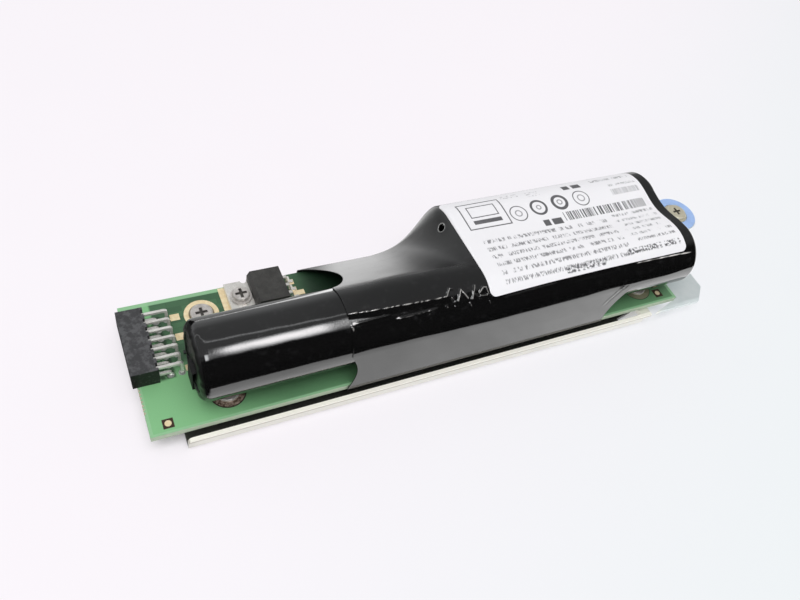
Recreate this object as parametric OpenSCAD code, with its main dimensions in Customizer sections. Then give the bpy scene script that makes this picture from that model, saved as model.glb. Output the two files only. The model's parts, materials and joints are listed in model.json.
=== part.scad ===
// Plug-in battery module for a disk array controller: three round cells in shrink film
// on a circuit board, carried by a folded sheet-metal tray.
// Board coordinates: x runs from the header end to the fixing-screw end, y from the near
// edge to the far edge, z up from the board's top face. placed() then moves every piece
// so that the origin is at the middle of the box under the tray.

/* [Circuit board] */
// Length of the board
board_l = 148; // [144:1:156]
// Width of the board
board_w = 36; // [35:0.5:40]
// Thickness of the board
board_t = 1.6; // [1:0.1:2]
// Diameter of the perforations along the break-away edge
bite_d = 0.7; // [0.4:0.1:0.9]
// Spacing of the perforations
bite_pitch = 1.0; // [0.9:0.05:1.1]
// Number of perforations
bite_count = 7; // [3:1:7]
// Distance from the near corner to the first perforation
bite_y = 6.2; // [4:0.1:6.4]
// Thickness of the plated lands
land_t = 0.07; // [0.04:0.01:0.12]
// Diameter of the plated ring round each board screw
ring_land_d = 8.4; // [7:0.1:9]

/* [Board screws] */
// Thread diameter of every screw
thread_d = 3; // [2.5:0.1:3]
// Clearance round a thread, on the radius
thread_gap = 0.05; // [0.02:0.01:0.1]
// Clearance round a screw in a plain hole, on the radius
hole_gap = 0.2; // [0.1:0.05:0.4]
// Diameter of a board screw's low head
head_d = 5.4; // [5:0.1:5.6]
// Height of a board screw's low head
head_h = 0.65; // [0.5:0.05:0.65]
// Height of the other screws' pan heads
pan_h = 1.0; // [0.9:0.1:1.4]
// Length of a board screw under its head
board_screw_l = 4.9; // [4:0.1:5.4]
// Width of the cross recess
recess_w = 0.75; // [0.6:0.05:0.9]
// Length of the cross recess
recess_l = 2.9; // [2.4:0.1:3.4]
// Depth of the cross recess
recess_deep = 0.45; // [0.3:0.05:0.5]
// Distance from the header edge to the front screws
front_screw_x = 18.3; // [17:0.1:19]
// Distance from the near edge to the near screws
near_screw_y = 6.4; // [6:0.1:6.6]
// Distance from the near edge to the far screws
far_screw_y = 29.3; // [29:0.1:29.8]
// Distance from the rear edge of the board to the rear screws
rear_screw_in = 10.7; // [10:0.1:11.2]

/* [Header socket] */
// Spacing of the contacts
pin_pitch = 2.54; // [2.4:0.02:2.6]
// Contacts in each row
pin_count = 7; // [5:1:7]
// Housing past the outer contact cells, at each end
header_end = 0.11; // [0.05:0.01:0.4]
// Depth of the housing along x
header_d = 5.95; // [5.5:0.05:6.1]
// Height of the housing
header_h = 5.08; // [4.8:0.02:5.6]
// Overhang past the board edge
header_out = 1.0; // [0.5:0.1:1.2]
// Distance from the near edge of the board to the housing
header_y = 12.98; // [12.9:0.02:14]
// Width of a square contact
pin_w = 0.64; // [0.5:0.02:0.7]
// Height of the upper row over the board
upper_row_z = 3.85; // [3.7:0.05:4]
// Height of the lower row over the board
lower_row_z = 1.3; // [1.2:0.05:1.4]
// Reach of the lower contacts behind the housing
lower_reach = 2.6; // [2.4:0.1:2.7]
// Further reach of the upper contacts
upper_step = 2.54; // [2.4:0.02:2.6]
// Width of a socket mouth
socket_w = 1.1; // [0.9:0.05:1.3]
// Tail of a contact under the board
tail_l = 0.9; // [0.6:0.1:1.2]

/* [Regulator] */
// Length of the moulded body
reg_l = 8.5; // [8.2:0.1:9]
// Width of the moulded body
reg_w = 9.95; // [9.6:0.05:10.2]
// Height of the top face over the board
reg_h = 4.48; // [4.2:0.02:4.7]
// Chamfer along the top edges
reg_chamfer = 0.7; // [0.4:0.1:0.9]
// Distance from the header edge to the body
reg_x = 31.2; // [31:0.1:31.6]
// Distance from the near edge of the board to the body
reg_y = 25.85; // [25.5:0.05:25.9]
// Length of the heat tab beyond the body
tab_l = 5.9; // [5.8:0.1:6.2]
// Thickness of the heat tab
tab_t = 1.3; // [1:0.1:1.4]
// Plated strip left bare beside the tab
bare_strip = 1.5; // [1:0.1:1.8]
// Diameter of the heat tab's screw head
reg_head_d = 4.2; // [4:0.1:4.8]
// Thickness of the spring washer
washer_t = 0.7; // [0.5:0.1:0.9]
// Width of a lead
lead_w = 0.8; // [0.6:0.05:1]
// Thickness of a lead
lead_t = 0.45; // [0.35:0.05:0.6]
// Reach of the leads beyond the body
lead_reach = 3.0; // [2.8:0.1:3.4]
// Length of a lead's flat foot
lead_foot_l = 1.4; // [1.2:0.1:1.6]

/* [Cells] */
// Diameter of a cell over its own jacket
cell_d = 18.2; // [18:0.05:18.4]
// Length of a cell
cell_l = 65; // [64:0.5:66]
// Thickness of a cell's own jacket
jacket_t = 0.1; // [0.08:0.01:0.15]
// Radius of a can's closed edge
can_edge_r = 1.0; // [0.6:0.1:1.2]
// Diameter of a positive cap
cap_d = 7.6; // [6.5:0.1:8.4]
// Height of a positive cap over the can
cap_h = 0.8; // [0.6:0.05:1]
// Spacing of the two rear cells
cell_pitch = 18.9; // [18.8:0.05:19.2]
// Distance from the near edge of the board to the near cells' axis
near_row_y = 9.9; // [9.8:0.05:10]
// Distance from the header edge to the front cell
front_cell_x = 12.9; // [12.7:0.1:13.2]
// Gap between the front cell and the rear cells
row_gap = 4.3; // [4:0.1:4.6]
// Thickness of the foam strips under the cells
foam_t = 0.75; // [0.6:0.05:1]
// Width of a foam strip
foam_w = 7; // [5:0.5:9]
// Thickness of the nickel strips
nickel_t = 0.2; // [0.15:0.01:0.25]
// Width of the nickel strips
nickel_w = 5; // [4:0.5:6]
// Diameter of the two leads over their insulation
lead_d = 1.5; // [1.2:0.1:1.7]

/* [Films] */
// Thickness of the inner wrap
wrap_t = 0.15; // [0.12:0.01:0.2]
// Clearance between a cell and the inner wrap
wrap_gap = 0.03; // [0.02:0.01:0.06]
// Width of the wrap's shrunk-over end
wrap_lip = 2.6; // [2:0.1:3.4]
// Depth of the pocket between a cell's end and the wrap's lip
wrap_pocket = 0.45; // [0.4:0.05:0.5]
// Depth of the pocket at the front end
front_pocket = 1.4; // [1.2:0.1:1.6]
// Depth of the pocket at the rear end
rear_pocket = 1.6; // [1.2:0.1:2]
// Radius of the wrap's front and rear edges
end_edge_r = 2.2; // [1.8:0.1:2.4]
// Depth of the groove between the wrapped rear cells
groove = 2.2; // [1.8:0.1:3]
// Thickness of the outer sleeve
sleeve_t = 0.25; // [0.2:0.01:0.3]
// Clearance between the wrap and the outer sleeve
sleeve_gap = 0.06; // [0.05:0.01:0.1]
// Distance from the header edge to the sleeve's front edge
sleeve_x = 45; // [44.5:0.5:47]
// How far the front edge draws back between board and cell on the near side
near_bow = 1.8; // [1:0.1:3]
// How far the front edge draws back in the arch on the far side
arch_bow = 6.3; // [4:0.1:7]
// Length of the sleeve along the board's edges
sleeve_low_l = 76.5; // [70:0.5:78]
// Length of the slanted rear edge from the board up to the cells
sleeve_slant = 6.5; // [4:0.5:8]
// Depth of the valley between the two rear cells
valley_dip = 1.1; // [0.5:0.1:1.6]
// Slack of the film across the flare
flare_dip = 0.8; // [0:0.1:1.2]
// Height of the pressed seam along the near shoulder
seam_h = 0.22; // [0.1:0.02:0.3]

/* [Label] */
// Length of the label
label_l = 62.6; // [50:0.5:63]
// How far the label starts before the far cell's shoulder
label_early = 0.9; // [0:0.1:1.2]
// Thickness of the label
label_t = 0.12; // [0.08:0.01:0.2]
// Radius of the label's corners
label_r = 1.6; // [0.8:0.1:3]
// Angle from straight up down to the label's edge on either shoulder
label_wrap = 36; // [20:1:38]

/* [Tray] */
// Thickness of the sheet
sheet_t = 1.0; // [0.8:0.1:1.1]
// Inner radius of the folds
fold_r = 0.6; // [0.4:0.1:1]
// Space between the board's underside and the tray floor
tray_space = 3.4; // [3:0.1:3.8]
// Gap between the board's edge and the near lip
lip_gap = 1.25; // [0.8:0.05:1.4]
// Distance of the near lip's top under the board's top face
near_lip_down = 2.2; // [1.8:0.1:2.6]
// Distance of the far lip's top under the board's top face
far_lip_down = 3.2; // [2.8:0.1:3.6]
// Distance from the header edge to the tray
tray_x = 7.4; // [7:0.1:8]
// Distance from the header edge to the lips' rear end
lip_end_x = 136; // [135:0.5:137]
// Length of the relief notch behind the lips
notch_l = 4; // [3:0.5:5]
// Depth of the relief notch, measured in from the lip's outer face
notch_in = 3; // [2.8:0.1:3.4]
// Length of the slanted end of the relief notch
notch_slant = 10; // [6:0.5:12]
// Length of the tab that bends in from the near lip's rear end
rest_tab_l = 3.6; // [2:0.1:3.8]
// Length of the ramp up to the ear
ramp_l = 4; // [3.5:0.5:5]
// Length of the ear past the board's rear edge
ear_out = 12.5; // [10:0.5:13]
// Corner chamfer of the ear
ear_chamfer = 4.4; // [2:0.1:6]

/* [Fixing point] */
// Distance from the board's rear edge to the fixing screw
fix_out = 24.2; // [23.5:0.1:27]
// Distance from the near edge of the board to the fixing screw
fix_y = 30.4; // [30:0.1:31]
// Outer diameter of the coloured ring
touch_d = 13.5; // [12.5:0.1:14]
// Inner diameter of the coloured ring
touch_hole_d = 8; // [7.8:0.1:8.6]
// Thickness of the coloured ring
touch_t = 0.4; // [0.3:0.05:0.5]
// Metal past the ring's edge
tongue_rim = 0.25; // [0.2:0.05:1]
// Diameter of the plain washer
fix_washer_d = 7.6; // [7:0.1:7.7]
// Thickness of the plain washer
fix_washer_t = 0.5; // [0.4:0.05:0.6]
// Diameter of the fixing screw's head
fix_head_d = 6.2; // [5.6:0.1:6.6]
// Diameter of the fixing screw's neck
neck_d = 2.4; // [2.1:0.1:2.6]
// Height of the screw's tip over the surface the tray stands on
tip_up = 0.25; // [0.2:0.05:0.6]

/* [Hidden] */

$fn = 48;
eps = 0.01;

// Heights
board_under = -board_t;
floor_top = board_under - tray_space;
foot_z = floor_top - sheet_t;
ear_top = board_under;
wrap_r = cell_d / 2 + wrap_gap + wrap_t;
cell_z = foam_t + wrap_r;

// Places along x
rear_cell_x = front_cell_x + cell_l + row_gap;
pack_end_x = rear_cell_x + cell_l;
wrap_front_x = front_cell_x - front_pocket - wrap_t;
wrap_rear_x = pack_end_x + rear_pocket + wrap_t;
shoulder_x = rear_cell_x - wrap_pocket - wrap_t;
mid_y = near_row_y + cell_pitch / 2;
collar_d = thread_d + 2.4;
ear_start_x = board_l - rear_screw_in - collar_d / 2 - 1.2;
fix_x = board_l + fix_out;

// Places along y
far_row_y = near_row_y + cell_pitch;
lip_y = -lip_gap - sheet_t;
tray_far_y = board_w + lip_gap + sheet_t;

// Sleeve circles: a small one round each board edge and one round each cell
edge_in = 0.8;
edge_r = 1.2 + sleeve_t;
edge_z = -board_t / 2;
sleeve_r = wrap_r + sleeve_gap + sleeve_t;
near_edge = [edge_in, edge_z, edge_r];
far_edge = [board_w - edge_in, edge_z, edge_r];
near_round = [near_row_y, cell_z, sleeve_r];
far_round = [far_row_y, cell_z, sleeve_r];
sleeve_high_x = wrap_rear_x - 2;
flare_end_x = shoulder_x + 0.1;

// Box of the whole module
low_x = -header_out;
high_x = fix_x + touch_d / 2 + tongue_rim;
low_y = lip_y;
high_y = max(far_row_y + sleeve_r, tray_far_y);

// Colours
board_green = [0.24, 0.5, 0.3];
film_black = [0.05, 0.05, 0.055];
sheet_silver = [0.78, 0.78, 0.76];
gold = [0.93, 0.8, 0.5];
tin = [0.8, 0.8, 0.78];
steel = [0.7, 0.69, 0.66];
chip_black = [0.12, 0.12, 0.13];

function mix(a, b, t) = a + (b - a) * t;

module placed() {
    translate([-(low_x + high_x) / 2, -(low_y + high_y) / 2, -foot_z]) children();
}

// A round bar or bore along z
module post(x, y, z0, z1, d) {
    translate([x, y, z0]) cylinder(h = z1 - z0, d = d);
}

module block(x0, x1, y0, y1, z0, z1) {
    translate([x0, y0, z0]) cube([x1 - x0, y1 - y0, z1 - z0]);
}

// A flat outline drawn in x and z, given its width along y
module along_y(y0, w) {
    translate([0, y0 + w, 0]) rotate([90, 0, 0]) linear_extrude(w) children();
}

// A section drawn in y and z, given its length along x
module along_x(x0, l) {
    translate([x0, 0, 0]) rotate([90, 0, 90]) linear_extrude(l) children();
}

// Turns a profile, drawn as radius and distance along the axis, round an x axis
module turned_x(x0, y, z) {
    translate([x0, y, z]) rotate([0, 90, 0]) rotate_extrude() children();
}

// Points of an arc
function arc(cx, cy, r, a0, a1, n) =
    [for (i = [0 : n]) let (a = mix(a0, a1, i / n)) [cx + r * cos(a), cy + r * sin(a)]];

// ---------------------------------------------------------------- screws and places

front_places = [for (y = [near_screw_y, far_screw_y]) [front_screw_x, y]];
rear_places = [for (y = [near_screw_y, far_screw_y]) [board_l - rear_screw_in, y]];
screw_places = concat(front_places, rear_places);
plain_hole_d = thread_d + 2 * hole_gap;
tapped_d = thread_d + 2 * thread_gap;

// Screw with a domed head of diameter d and height h, standing on the plane z = seat,
// with a cross recess in its top
module head_screw(x, y, seat, d, h, tip, shank_d = thread_d) {
    dome = 0.4 * h;
    difference() {
        union() {
            translate([x, y, seat]) rotate_extrude() polygon(concat(
                [[0, 0], [d / 2, 0]],
                arc(d / 2 - dome, h - dome, dome, 0, 80, 6),
                [[0, h]]
            ));
            post(x, y, tip, seat + eps, shank_d);
        }
        for (turn = [0, 90])
            translate([x, y, seat + h]) rotate(turn)
                cube([recess_l, recess_w, 2 * recess_deep], center = true);
    }
}

// ---------------------------------------------------------------- tray

module tray_section(lip_out, lip_top, side) {
    // Lip with its fold, as a flat outline in y and z; side is 1 near and -1 far
    outer = fold_r + sheet_t;
    mirror([side < 0 ? 1 : 0, 0]) polygon(concat(
        arc(lip_out + outer, foot_z + outer, outer, 270, 180, 8),
        [[lip_out, lip_top], [lip_out + sheet_t, lip_top]],
        arc(lip_out + outer, foot_z + outer, fold_r, 180, 270, 8)
    ));
}

module ear_outline() {
    // Raised plate with its relief notches, chamfer and round-ended tongue
    wide_x = lip_end_x + notch_l;
    end_x = board_l + ear_out;
    tongue_r = touch_d / 2 + tongue_rim;
    difference() {
        union() {
            polygon([
                [ear_start_x, lip_y + notch_in], [wide_x + notch_slant, lip_y + notch_in],
                [wide_x, lip_y],
                [end_x - ear_chamfer, lip_y], [end_x, lip_y + ear_chamfer],
                [end_x, tray_far_y - ear_chamfer / 4], [end_x - ear_chamfer / 4, tray_far_y],
                [wide_x, tray_far_y], [wide_x, tray_far_y - notch_in],
                [ear_start_x, tray_far_y - notch_in]
            ]);
            translate([end_x - eps, fix_y - tongue_r]) square([fix_x - end_x + eps, 2 * tongue_r]);
            translate([fix_x, fix_y]) circle(tongue_r);
        }
        translate([fix_x, fix_y]) circle(d = plain_hole_d);
    }
}

module carrier_tray() {
    outer = fold_r + sheet_t;
    ramp_x = ear_start_x - ramp_l;
    collar_h = 1.2;
    rest_tab_in = 0.6;
    rise = ear_top - sheet_t - foot_z;
    color(sheet_silver) difference() {
        union() {
            // Floor, with the lips folded up from its long sides
            block(tray_x, ramp_x, lip_y + outer, tray_far_y - outer, foot_z, floor_top);
            along_x(tray_x, lip_end_x - tray_x)
                tray_section(lip_y, -near_lip_down, 1);
            along_x(tray_x, lip_end_x - tray_x)
                tray_section(-tray_far_y, -far_lip_down, -1);
            // Tab at the end of the near lip, bent in under the board's edge
            block(lip_end_x - 1, lip_end_x - 1 + rest_tab_l, lip_y, rest_tab_in,
                  -near_lip_down - sheet_t, -near_lip_down);
            // Ramp that lifts the sheet to the board's underside
            along_y(lip_y + notch_in, tray_far_y - lip_y - 2 * notch_in) polygon([
                [ramp_x - sheet_t, foot_z], [ramp_x, foot_z],
                [ear_start_x + sheet_t / 2, foot_z + rise], [ear_start_x + sheet_t / 2, ear_top],
                [ear_start_x, ear_top], [ramp_x - sheet_t / 2, floor_top],
                [ramp_x - sheet_t, floor_top]
            ]);
            translate([0, 0, ear_top - sheet_t]) linear_extrude(sheet_t) ear_outline();
            for (p = rear_places)
                post(p[0], p[1], ear_top - sheet_t - collar_h, ear_top - eps, collar_d);
        }
        for (p = rear_places)
            post(p[0], p[1], ear_top - sheet_t - collar_h - 1, ear_top + 1, tapped_d);
        for (p = front_places)
            post(p[0], p[1], foot_z - 1, floor_top + 1, spigot_d + 2 * standoff_fit);
        // Rounded front corners of the near lip
        translate([tray_x, lip_y - eps, -near_lip_down]) rotate([-90, 0, 0])
            linear_extrude(sheet_t + 3 * eps) difference() {
                translate([-eps, -eps]) square(1.2);
                translate([1.2, 1.2]) circle(1.2);
            }
    }
}

standoff_d = 5.2;
spigot_d = 4.2;
standoff_fit = 0.02;

module tray_standoffs() {
    // Press-in standoffs with a tapped bore, flush with the tray's underside
    color(steel) for (p = front_places) difference() {
        union() {
            post(p[0], p[1], foot_z, floor_top + eps, spigot_d);
            post(p[0], p[1], floor_top, board_under, standoff_d);
        }
        post(p[0], p[1], foot_z - 1, board_under + 1, tapped_d);
    }
}

// ---------------------------------------------------------------- board

header_l = pin_count * pin_pitch + 2 * header_end;
header_back = header_d - header_out;
pin_ys = [for (i = [0 : pin_count - 1]) header_y + header_end + pin_pitch * (i + 0.5)];
lower_pin_x = header_back + lower_reach;
upper_pin_x = lower_pin_x + upper_step;
pin_hole_d = pin_w * sqrt(2) + 0.16;

reg_mid_y = reg_y + reg_w / 2;
reg_screw_x = reg_x - tab_l / 2 + 0.15;
lead_pitch = 2.54;
lead_ys = [for (i = [-1 : 1]) reg_mid_y + i * lead_pitch];
lead_end_x = reg_x + reg_l + lead_reach;
lead_z = 2.4;

// Feet of the two insulated leads on the board
lead_bend = 2.5;
lead_foot_back = 6.2;
plus_y = far_row_y - 0.2;
minus_y = far_row_y - 3.4;
plus_x = rear_cell_x - lead_foot_back;
minus_x = plus_x - 1.2;

// Stretch of board between the regulator's leads and the battery leads: the small parts
// in it are placed for a stretch of shared_l, and share any change of its length
shared_start = 45;
shared_l = 31;
function shared_x(x) = x < shared_start ? x :
    shared_start + (x - shared_start) * (plus_x - shared_start) / shared_l;

module board_outline() {
    difference() {
        square([board_l, board_w]);
        for (i = [0 : bite_count - 1])
            translate([0, bite_y + i * bite_pitch]) circle(d = bite_d);
    }
}

module circuit_board() {
    color(board_green) difference() {
        translate([0, 0, board_under]) linear_extrude(board_t) board_outline();
        for (p = screw_places) post(p[0], p[1], board_under - 1, 1, plain_hole_d);
        post(reg_screw_x, reg_mid_y, board_under - 1, 1, plain_hole_d);
        for (y = pin_ys, x = [lower_pin_x, upper_pin_x])
            post(x, y, board_under - 1, 1, pin_hole_d);
    }
}

fiducial_d = 1.5;
tab_pad = [front_cell_x + 1.7, near_row_y + 1.2];

module land(x, y, l, w) {
    block(x - l / 2, x + l / 2, y - w / 2, y + w / 2, 0, land_t);
}

module plated_lands() {
    color(gold) {
        for (p = screw_places) difference() {
            post(p[0], p[1], 0, land_t, ring_land_d);
            post(p[0], p[1], -1, 1, plain_hole_d);
        }
        post(4.2, 2.4, 0, land_t, fiducial_d);
        post(board_l - 5.0, 2.9, 0, land_t, fiducial_d);
        land(43.2, 29.6, 2.9, 1.5);
        land(12.05, 29.9, 2.2, 1.9);
        land(12.05, 24.1, 2.2, 2.0);
        land(12.05, 15.2, 2.0, 1.6);
        land(tab_pad[0], tab_pad[1], 2.8, nickel_w);
        for (y = lead_ys) land(lead_end_x - lead_foot_l / 2, y, lead_foot_l + 0.5, lead_w + 0.8);
        // Heat spreading land beside and under the regulator's tab
        difference() {
            block(reg_x - tab_l - bare_strip, reg_x + 1, reg_y, reg_y + reg_w, 0, land_t);
            post(reg_screw_x, reg_mid_y, -1, 1, plain_hole_d);
        }
        land(plus_x, plus_y, 2.6, 2.6);
        land(minus_x, minus_y, 2.6, 2.6);
    }
}

module board_screws() {
    color(steel) for (p = screw_places)
        head_screw(p[0], p[1], land_t, head_d, head_h, land_t - board_screw_l);
}

// ---------------------------------------------------------------- header socket

module header_housing() {
    color(chip_black) difference() {
        block(-header_out, header_back, header_y, header_y + header_l, 0, header_h);
        for (y = pin_ys, z = [lower_row_z, upper_row_z]) {
            // Socket mouth with its lead-in, and the hole the contact leaves by
            block(-header_out - 1, header_back - 1.2, y - socket_w / 2, y + socket_w / 2,
                  z - socket_w / 2, z + socket_w / 2);
            block(0, header_back + 1, y - pin_w / 2 - 0.02, y + pin_w / 2 + 0.02,
                  z - pin_w / 2 - 0.02, z + pin_w / 2 + 0.02);
        }
        // Open slots over the upper contacts in the rear edge
        for (y = pin_ys)
            block(header_back - 0.5, header_back + 1, y - pin_w, y + pin_w,
                  upper_row_z, header_h + 1);
    }
}

// Contact that runs back from its socket and turns down through the board
module bent_contact(y, z, foot_x) {
    bend = 0.9;
    start_x = 0.8;
    top = z + pin_w / 2;
    right = foot_x + pin_w / 2;
    along_y(y - pin_w / 2, pin_w) polygon(concat(
        [[start_x, top - pin_w], [start_x, top]],
        arc(right - bend, top - bend, bend, 90, 0, 6),
        [[right, board_under - tail_l], [right - pin_w, board_under - tail_l]],
        arc(right - bend, top - bend, bend - pin_w, 0, 90, 4)
    ));
}

module upper_contacts() {
    color(tin) for (y = pin_ys) bent_contact(y, upper_row_z, upper_pin_x);
}

module lower_contacts() {
    color(tin) for (y = pin_ys) bent_contact(y, lower_row_z, lower_pin_x);
}

// Solder cone with a hole for the leg it surrounds
module fillet_cone(x, y, d, h, hole, dir) {
    translate([x, y, dir > 0 ? 0 : board_under]) mirror([0, 0, dir > 0 ? 0 : 1])
        difference() {
            cylinder(h = h, d1 = d, d2 = hole * 1.45);
            translate([-hole / 2, -hole / 2, -1]) cube([hole, hole, h + 2]);
        }
}

module solder_joints() {
    leg = pin_w + 0.02;
    color(tin) for (y = pin_ys, x = [lower_pin_x, upper_pin_x], dir = [-1, 1])
        fillet_cone(x, y, 1.7, 0.5, leg, dir);
}

// ---------------------------------------------------------------- regulator

module regulator_body() {
    c = reg_chamfer;
    color(chip_black) difference() {
        block(reg_x, reg_x + reg_l, reg_y, reg_y + reg_w, land_t, reg_h);
        // Sloped ends and sides of the moulding
        along_y(reg_y - 1, reg_w + 2) {
            polygon([[reg_x - eps, reg_h - 2 * c], [reg_x - eps, reg_h + eps], [reg_x + c, reg_h + eps]]);
            polygon([[reg_x + reg_l + eps, lead_z + lead_t], [reg_x + reg_l + eps, reg_h + eps],
                     [reg_x + reg_l - c / 2, reg_h + eps]]);
        }
        block(reg_x - 1, reg_x + reg_l - 2, reg_y - 1, reg_y + reg_w + 1, land_t - 1, land_t + tab_t);
    }
}

module regulator_tab() {
    color(tin) difference() {
        block(reg_x - tab_l, reg_x + reg_l - 2, reg_y, reg_y + reg_w, land_t, land_t + tab_t);
        post(reg_screw_x, reg_mid_y, 0, 3, plain_hole_d + 0.4);
        // Notched shoulders beside the body
        for (y = [reg_y, reg_y + reg_w])
            post(reg_x - 0.9, y, 0, 3, 1.6);
    }
}

module regulator_leads() {
    // Flat leads that step down and lie on their lands
    x0 = reg_x + reg_l;
    knee = lead_end_x - lead_foot_l;
    t = lead_t;
    foot = land_t;
    color(tin) for (y = lead_ys) along_y(y - lead_w / 2, lead_w) polygon([
        [x0, lead_z], [x0, lead_z + t], [knee - 0.9, lead_z + t], [knee - 0.45, lead_z + 0.6 * t],
        [knee + 0.15, foot + t], [lead_end_x, foot + t], [lead_end_x, foot],
        [knee - 0.2, foot], [knee - 0.9, lead_z]
    ]);
}

reg_seat = land_t + tab_t + washer_t;
nut_h = 2.4;

module regulator_screw() {
    color(steel) head_screw(reg_screw_x, reg_mid_y, reg_seat, reg_head_d, pan_h,
                            board_under - nut_h - 0.3);
}

module spring_washer() {
    // Split washer with its narrow slot
    color(steel) difference() {
        post(reg_screw_x, reg_mid_y, land_t + tab_t, reg_seat, thread_d + 2.2);
        post(reg_screw_x, reg_mid_y, 0, 4, thread_d + 0.2);
        translate([reg_screw_x, reg_mid_y, reg_seat]) rotate(215)
            cube([4, 0.5, 2 * washer_t + 1], center = false);
    }
}

module regulator_nut() {
    color(steel) difference() {
        translate([reg_screw_x, reg_mid_y, board_under - nut_h]) rotate(30)
            cylinder(h = nut_h, d = 6.2, $fn = 6);
        post(reg_screw_x, reg_mid_y, board_under - nut_h - 1, 1, tapped_d);
    }
}

// ---------------------------------------------------------------- parts on the board

// Outline chip: middle, size and number of leads on each long side
charger = [shared_x(61.5), 27, 9.9, 3.9, 8];
gauge = [shared_x(50.5), 22.4, 4.9, 3.9, 4];
chip_h = 1.5;
chip_lift = 0.15;
chip_pitch = 1.27;

module chip_body(c) {
    block(c[0] - c[2] / 2, c[0] + c[2] / 2, c[1] - c[3] / 2, c[1] + c[3] / 2,
          chip_lift, chip_lift + chip_h);
}

module charger_chip() { color(chip_black) chip_body(charger); }
module gauge_chip() { color(chip_black) chip_body(gauge); }

module gull_leads(c) {
    t = 0.2;
    z = chip_lift + chip_h / 2;
    for (i = [0 : c[4] - 1], side = [0, 1])
        translate([c[0] + (i - (c[4] - 1) / 2) * chip_pitch, c[1], 0]) mirror([0, side])
            translate([-0.2, c[3] / 2, 0]) rotate([90, 0, 90]) linear_extrude(0.4) polygon([
                [0, z], [0.45, z], [0.6, t], [1.05, t], [1.05, 0], [0.42, 0],
                [0.27, z - t], [0, z - t]
            ]);
}

module chip_leads() {
    color(tin) {
        gull_leads(charger);
        gull_leads(gauge);
    }
}

// Small two-ended parts: middle x, y, length, width, height
resistor_list = [
    [46, 21.5, 2.0, 1.25, 0.5], [46, 23.5, 2.0, 1.25, 0.5], [56, 30.4, 1.6, 0.8, 0.45],
    [59.5, 31.4, 1.6, 0.8, 0.45], [63, 31.4, 1.6, 0.8, 0.45], [66.5, 31.4, 1.6, 0.8, 0.45],
    [12.4, 19.4, 1.6, 0.8, 0.45], [21.2, 22.2, 1.6, 0.8, 0.45]
];
capacitor_list = [
    [67, 22.4, 3.2, 1.6, 1.2], [57, 22.4, 3.2, 1.6, 1.2], [62, 22.4, 3.2, 1.6, 1.2],
    [71.3, 22.4, 2.0, 1.25, 0.9], [25.5, 22.6, 2.0, 1.25, 0.9]
];

module chip_part(p) {
    translate([shared_x(p[0]), p[1], 0])
        block(-p[2] / 2, p[2] / 2, -p[3] / 2, p[3] / 2, 0, p[4]);
}

module chip_resistors() {
    color(chip_black) for (p = resistor_list) chip_part(p);
}

module chip_capacitors() {
    color([0.72, 0.6, 0.45]) for (p = capacitor_list) chip_part(p);
}

module power_inductor() {
    // Shielded square inductor with cut corners and a round core
    color(chip_black) translate([shared_x(70.4), 30.2, 0]) {
        linear_extrude(2) difference() {
            square(5, center = true);
            for (a = [0 : 90 : 270]) rotate(a) translate([2.5, 2.5]) rotate(45)
                square(1.2, center = true);
        }
        cylinder(h = 2.2, d = 3.4);
    }
}

module thermal_sensor() {
    // Flat sensor on the board between the foam strips, under the front cell
    color(chip_black) block(58, 59.6, near_row_y + foam_w / 2 + 0.4,
                            near_row_y + foam_w / 2 + 1.2, 0, 0.5);
}

// ---------------------------------------------------------------- cells

snug = 0.01;
can_r = cell_d / 2 - jacket_t - snug;
bead_at = 3.4;
bead_deep = 0.7;
cell_places = [
    [front_cell_x, near_row_y, 0], [rear_cell_x, near_row_y, 1], [rear_cell_x, far_row_y, 1]
];

// Puts a cell drawn from its closed end at x = 0 into its place; flipped cells have
// their positive end in front
module cell_at(p) {
    translate([p[0] + (p[2] == 1 ? cell_l : 0), p[1], cell_z]) mirror([p[2], 0, 0]) children();
}

// Can with a closed rounded end, a crimp bead and a rolled mouth
module can() {
    h = cell_l - cap_h;
    e = can_edge_r;
    base = jacket_t + snug;
    color(steel) rotate([0, 90, 0]) rotate_extrude() polygon(concat(
        [[0, base]],
        arc(can_r - e, base + e, e, -90, 0, 6),
        [[can_r, h - bead_at - 0.6]],
        [[can_r - bead_deep, h - bead_at], [can_r - bead_deep, h - bead_at + 0.5]],
        [[can_r, h - bead_at + 1.1]],
        arc(can_r - 0.5, h - base - 0.5, 0.5, 0, 90, 4),
        [[gasket_r + snug, h - base], [gasket_r + snug, h - gasket_t - snug],
         [0, h - gasket_t - snug]]
    ));
}

gasket_r = 7.2;
gasket_t = 0.5;

module front_cell() { cell_at(cell_places[0]) can(); }
module near_cell() { cell_at(cell_places[1]) can(); }
module far_cell() { cell_at(cell_places[2]) can(); }

module cell_caps() {
    color(tin) for (p = cell_places) cell_at(p) rotate([0, 90, 0]) rotate_extrude()
        polygon([[0, cell_l - cap_h - gasket_t], [cap_d / 2, cell_l - cap_h - gasket_t],
                 [cap_d / 2, cell_l - 0.2], [cap_d / 2 - 0.3, cell_l], [0, cell_l]]);
}

module cap_gaskets() {
    h = cell_l - cap_h;
    color([0.85, 0.85, 0.8]) for (p = cell_places) cell_at(p) rotate([0, 90, 0])
        rotate_extrude() polygon([[cap_d / 2 + 0.02, h - gasket_t], [gasket_r, h - gasket_t],
                                  [gasket_r, h], [cap_d / 2 + 0.02, h]]);
}

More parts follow.
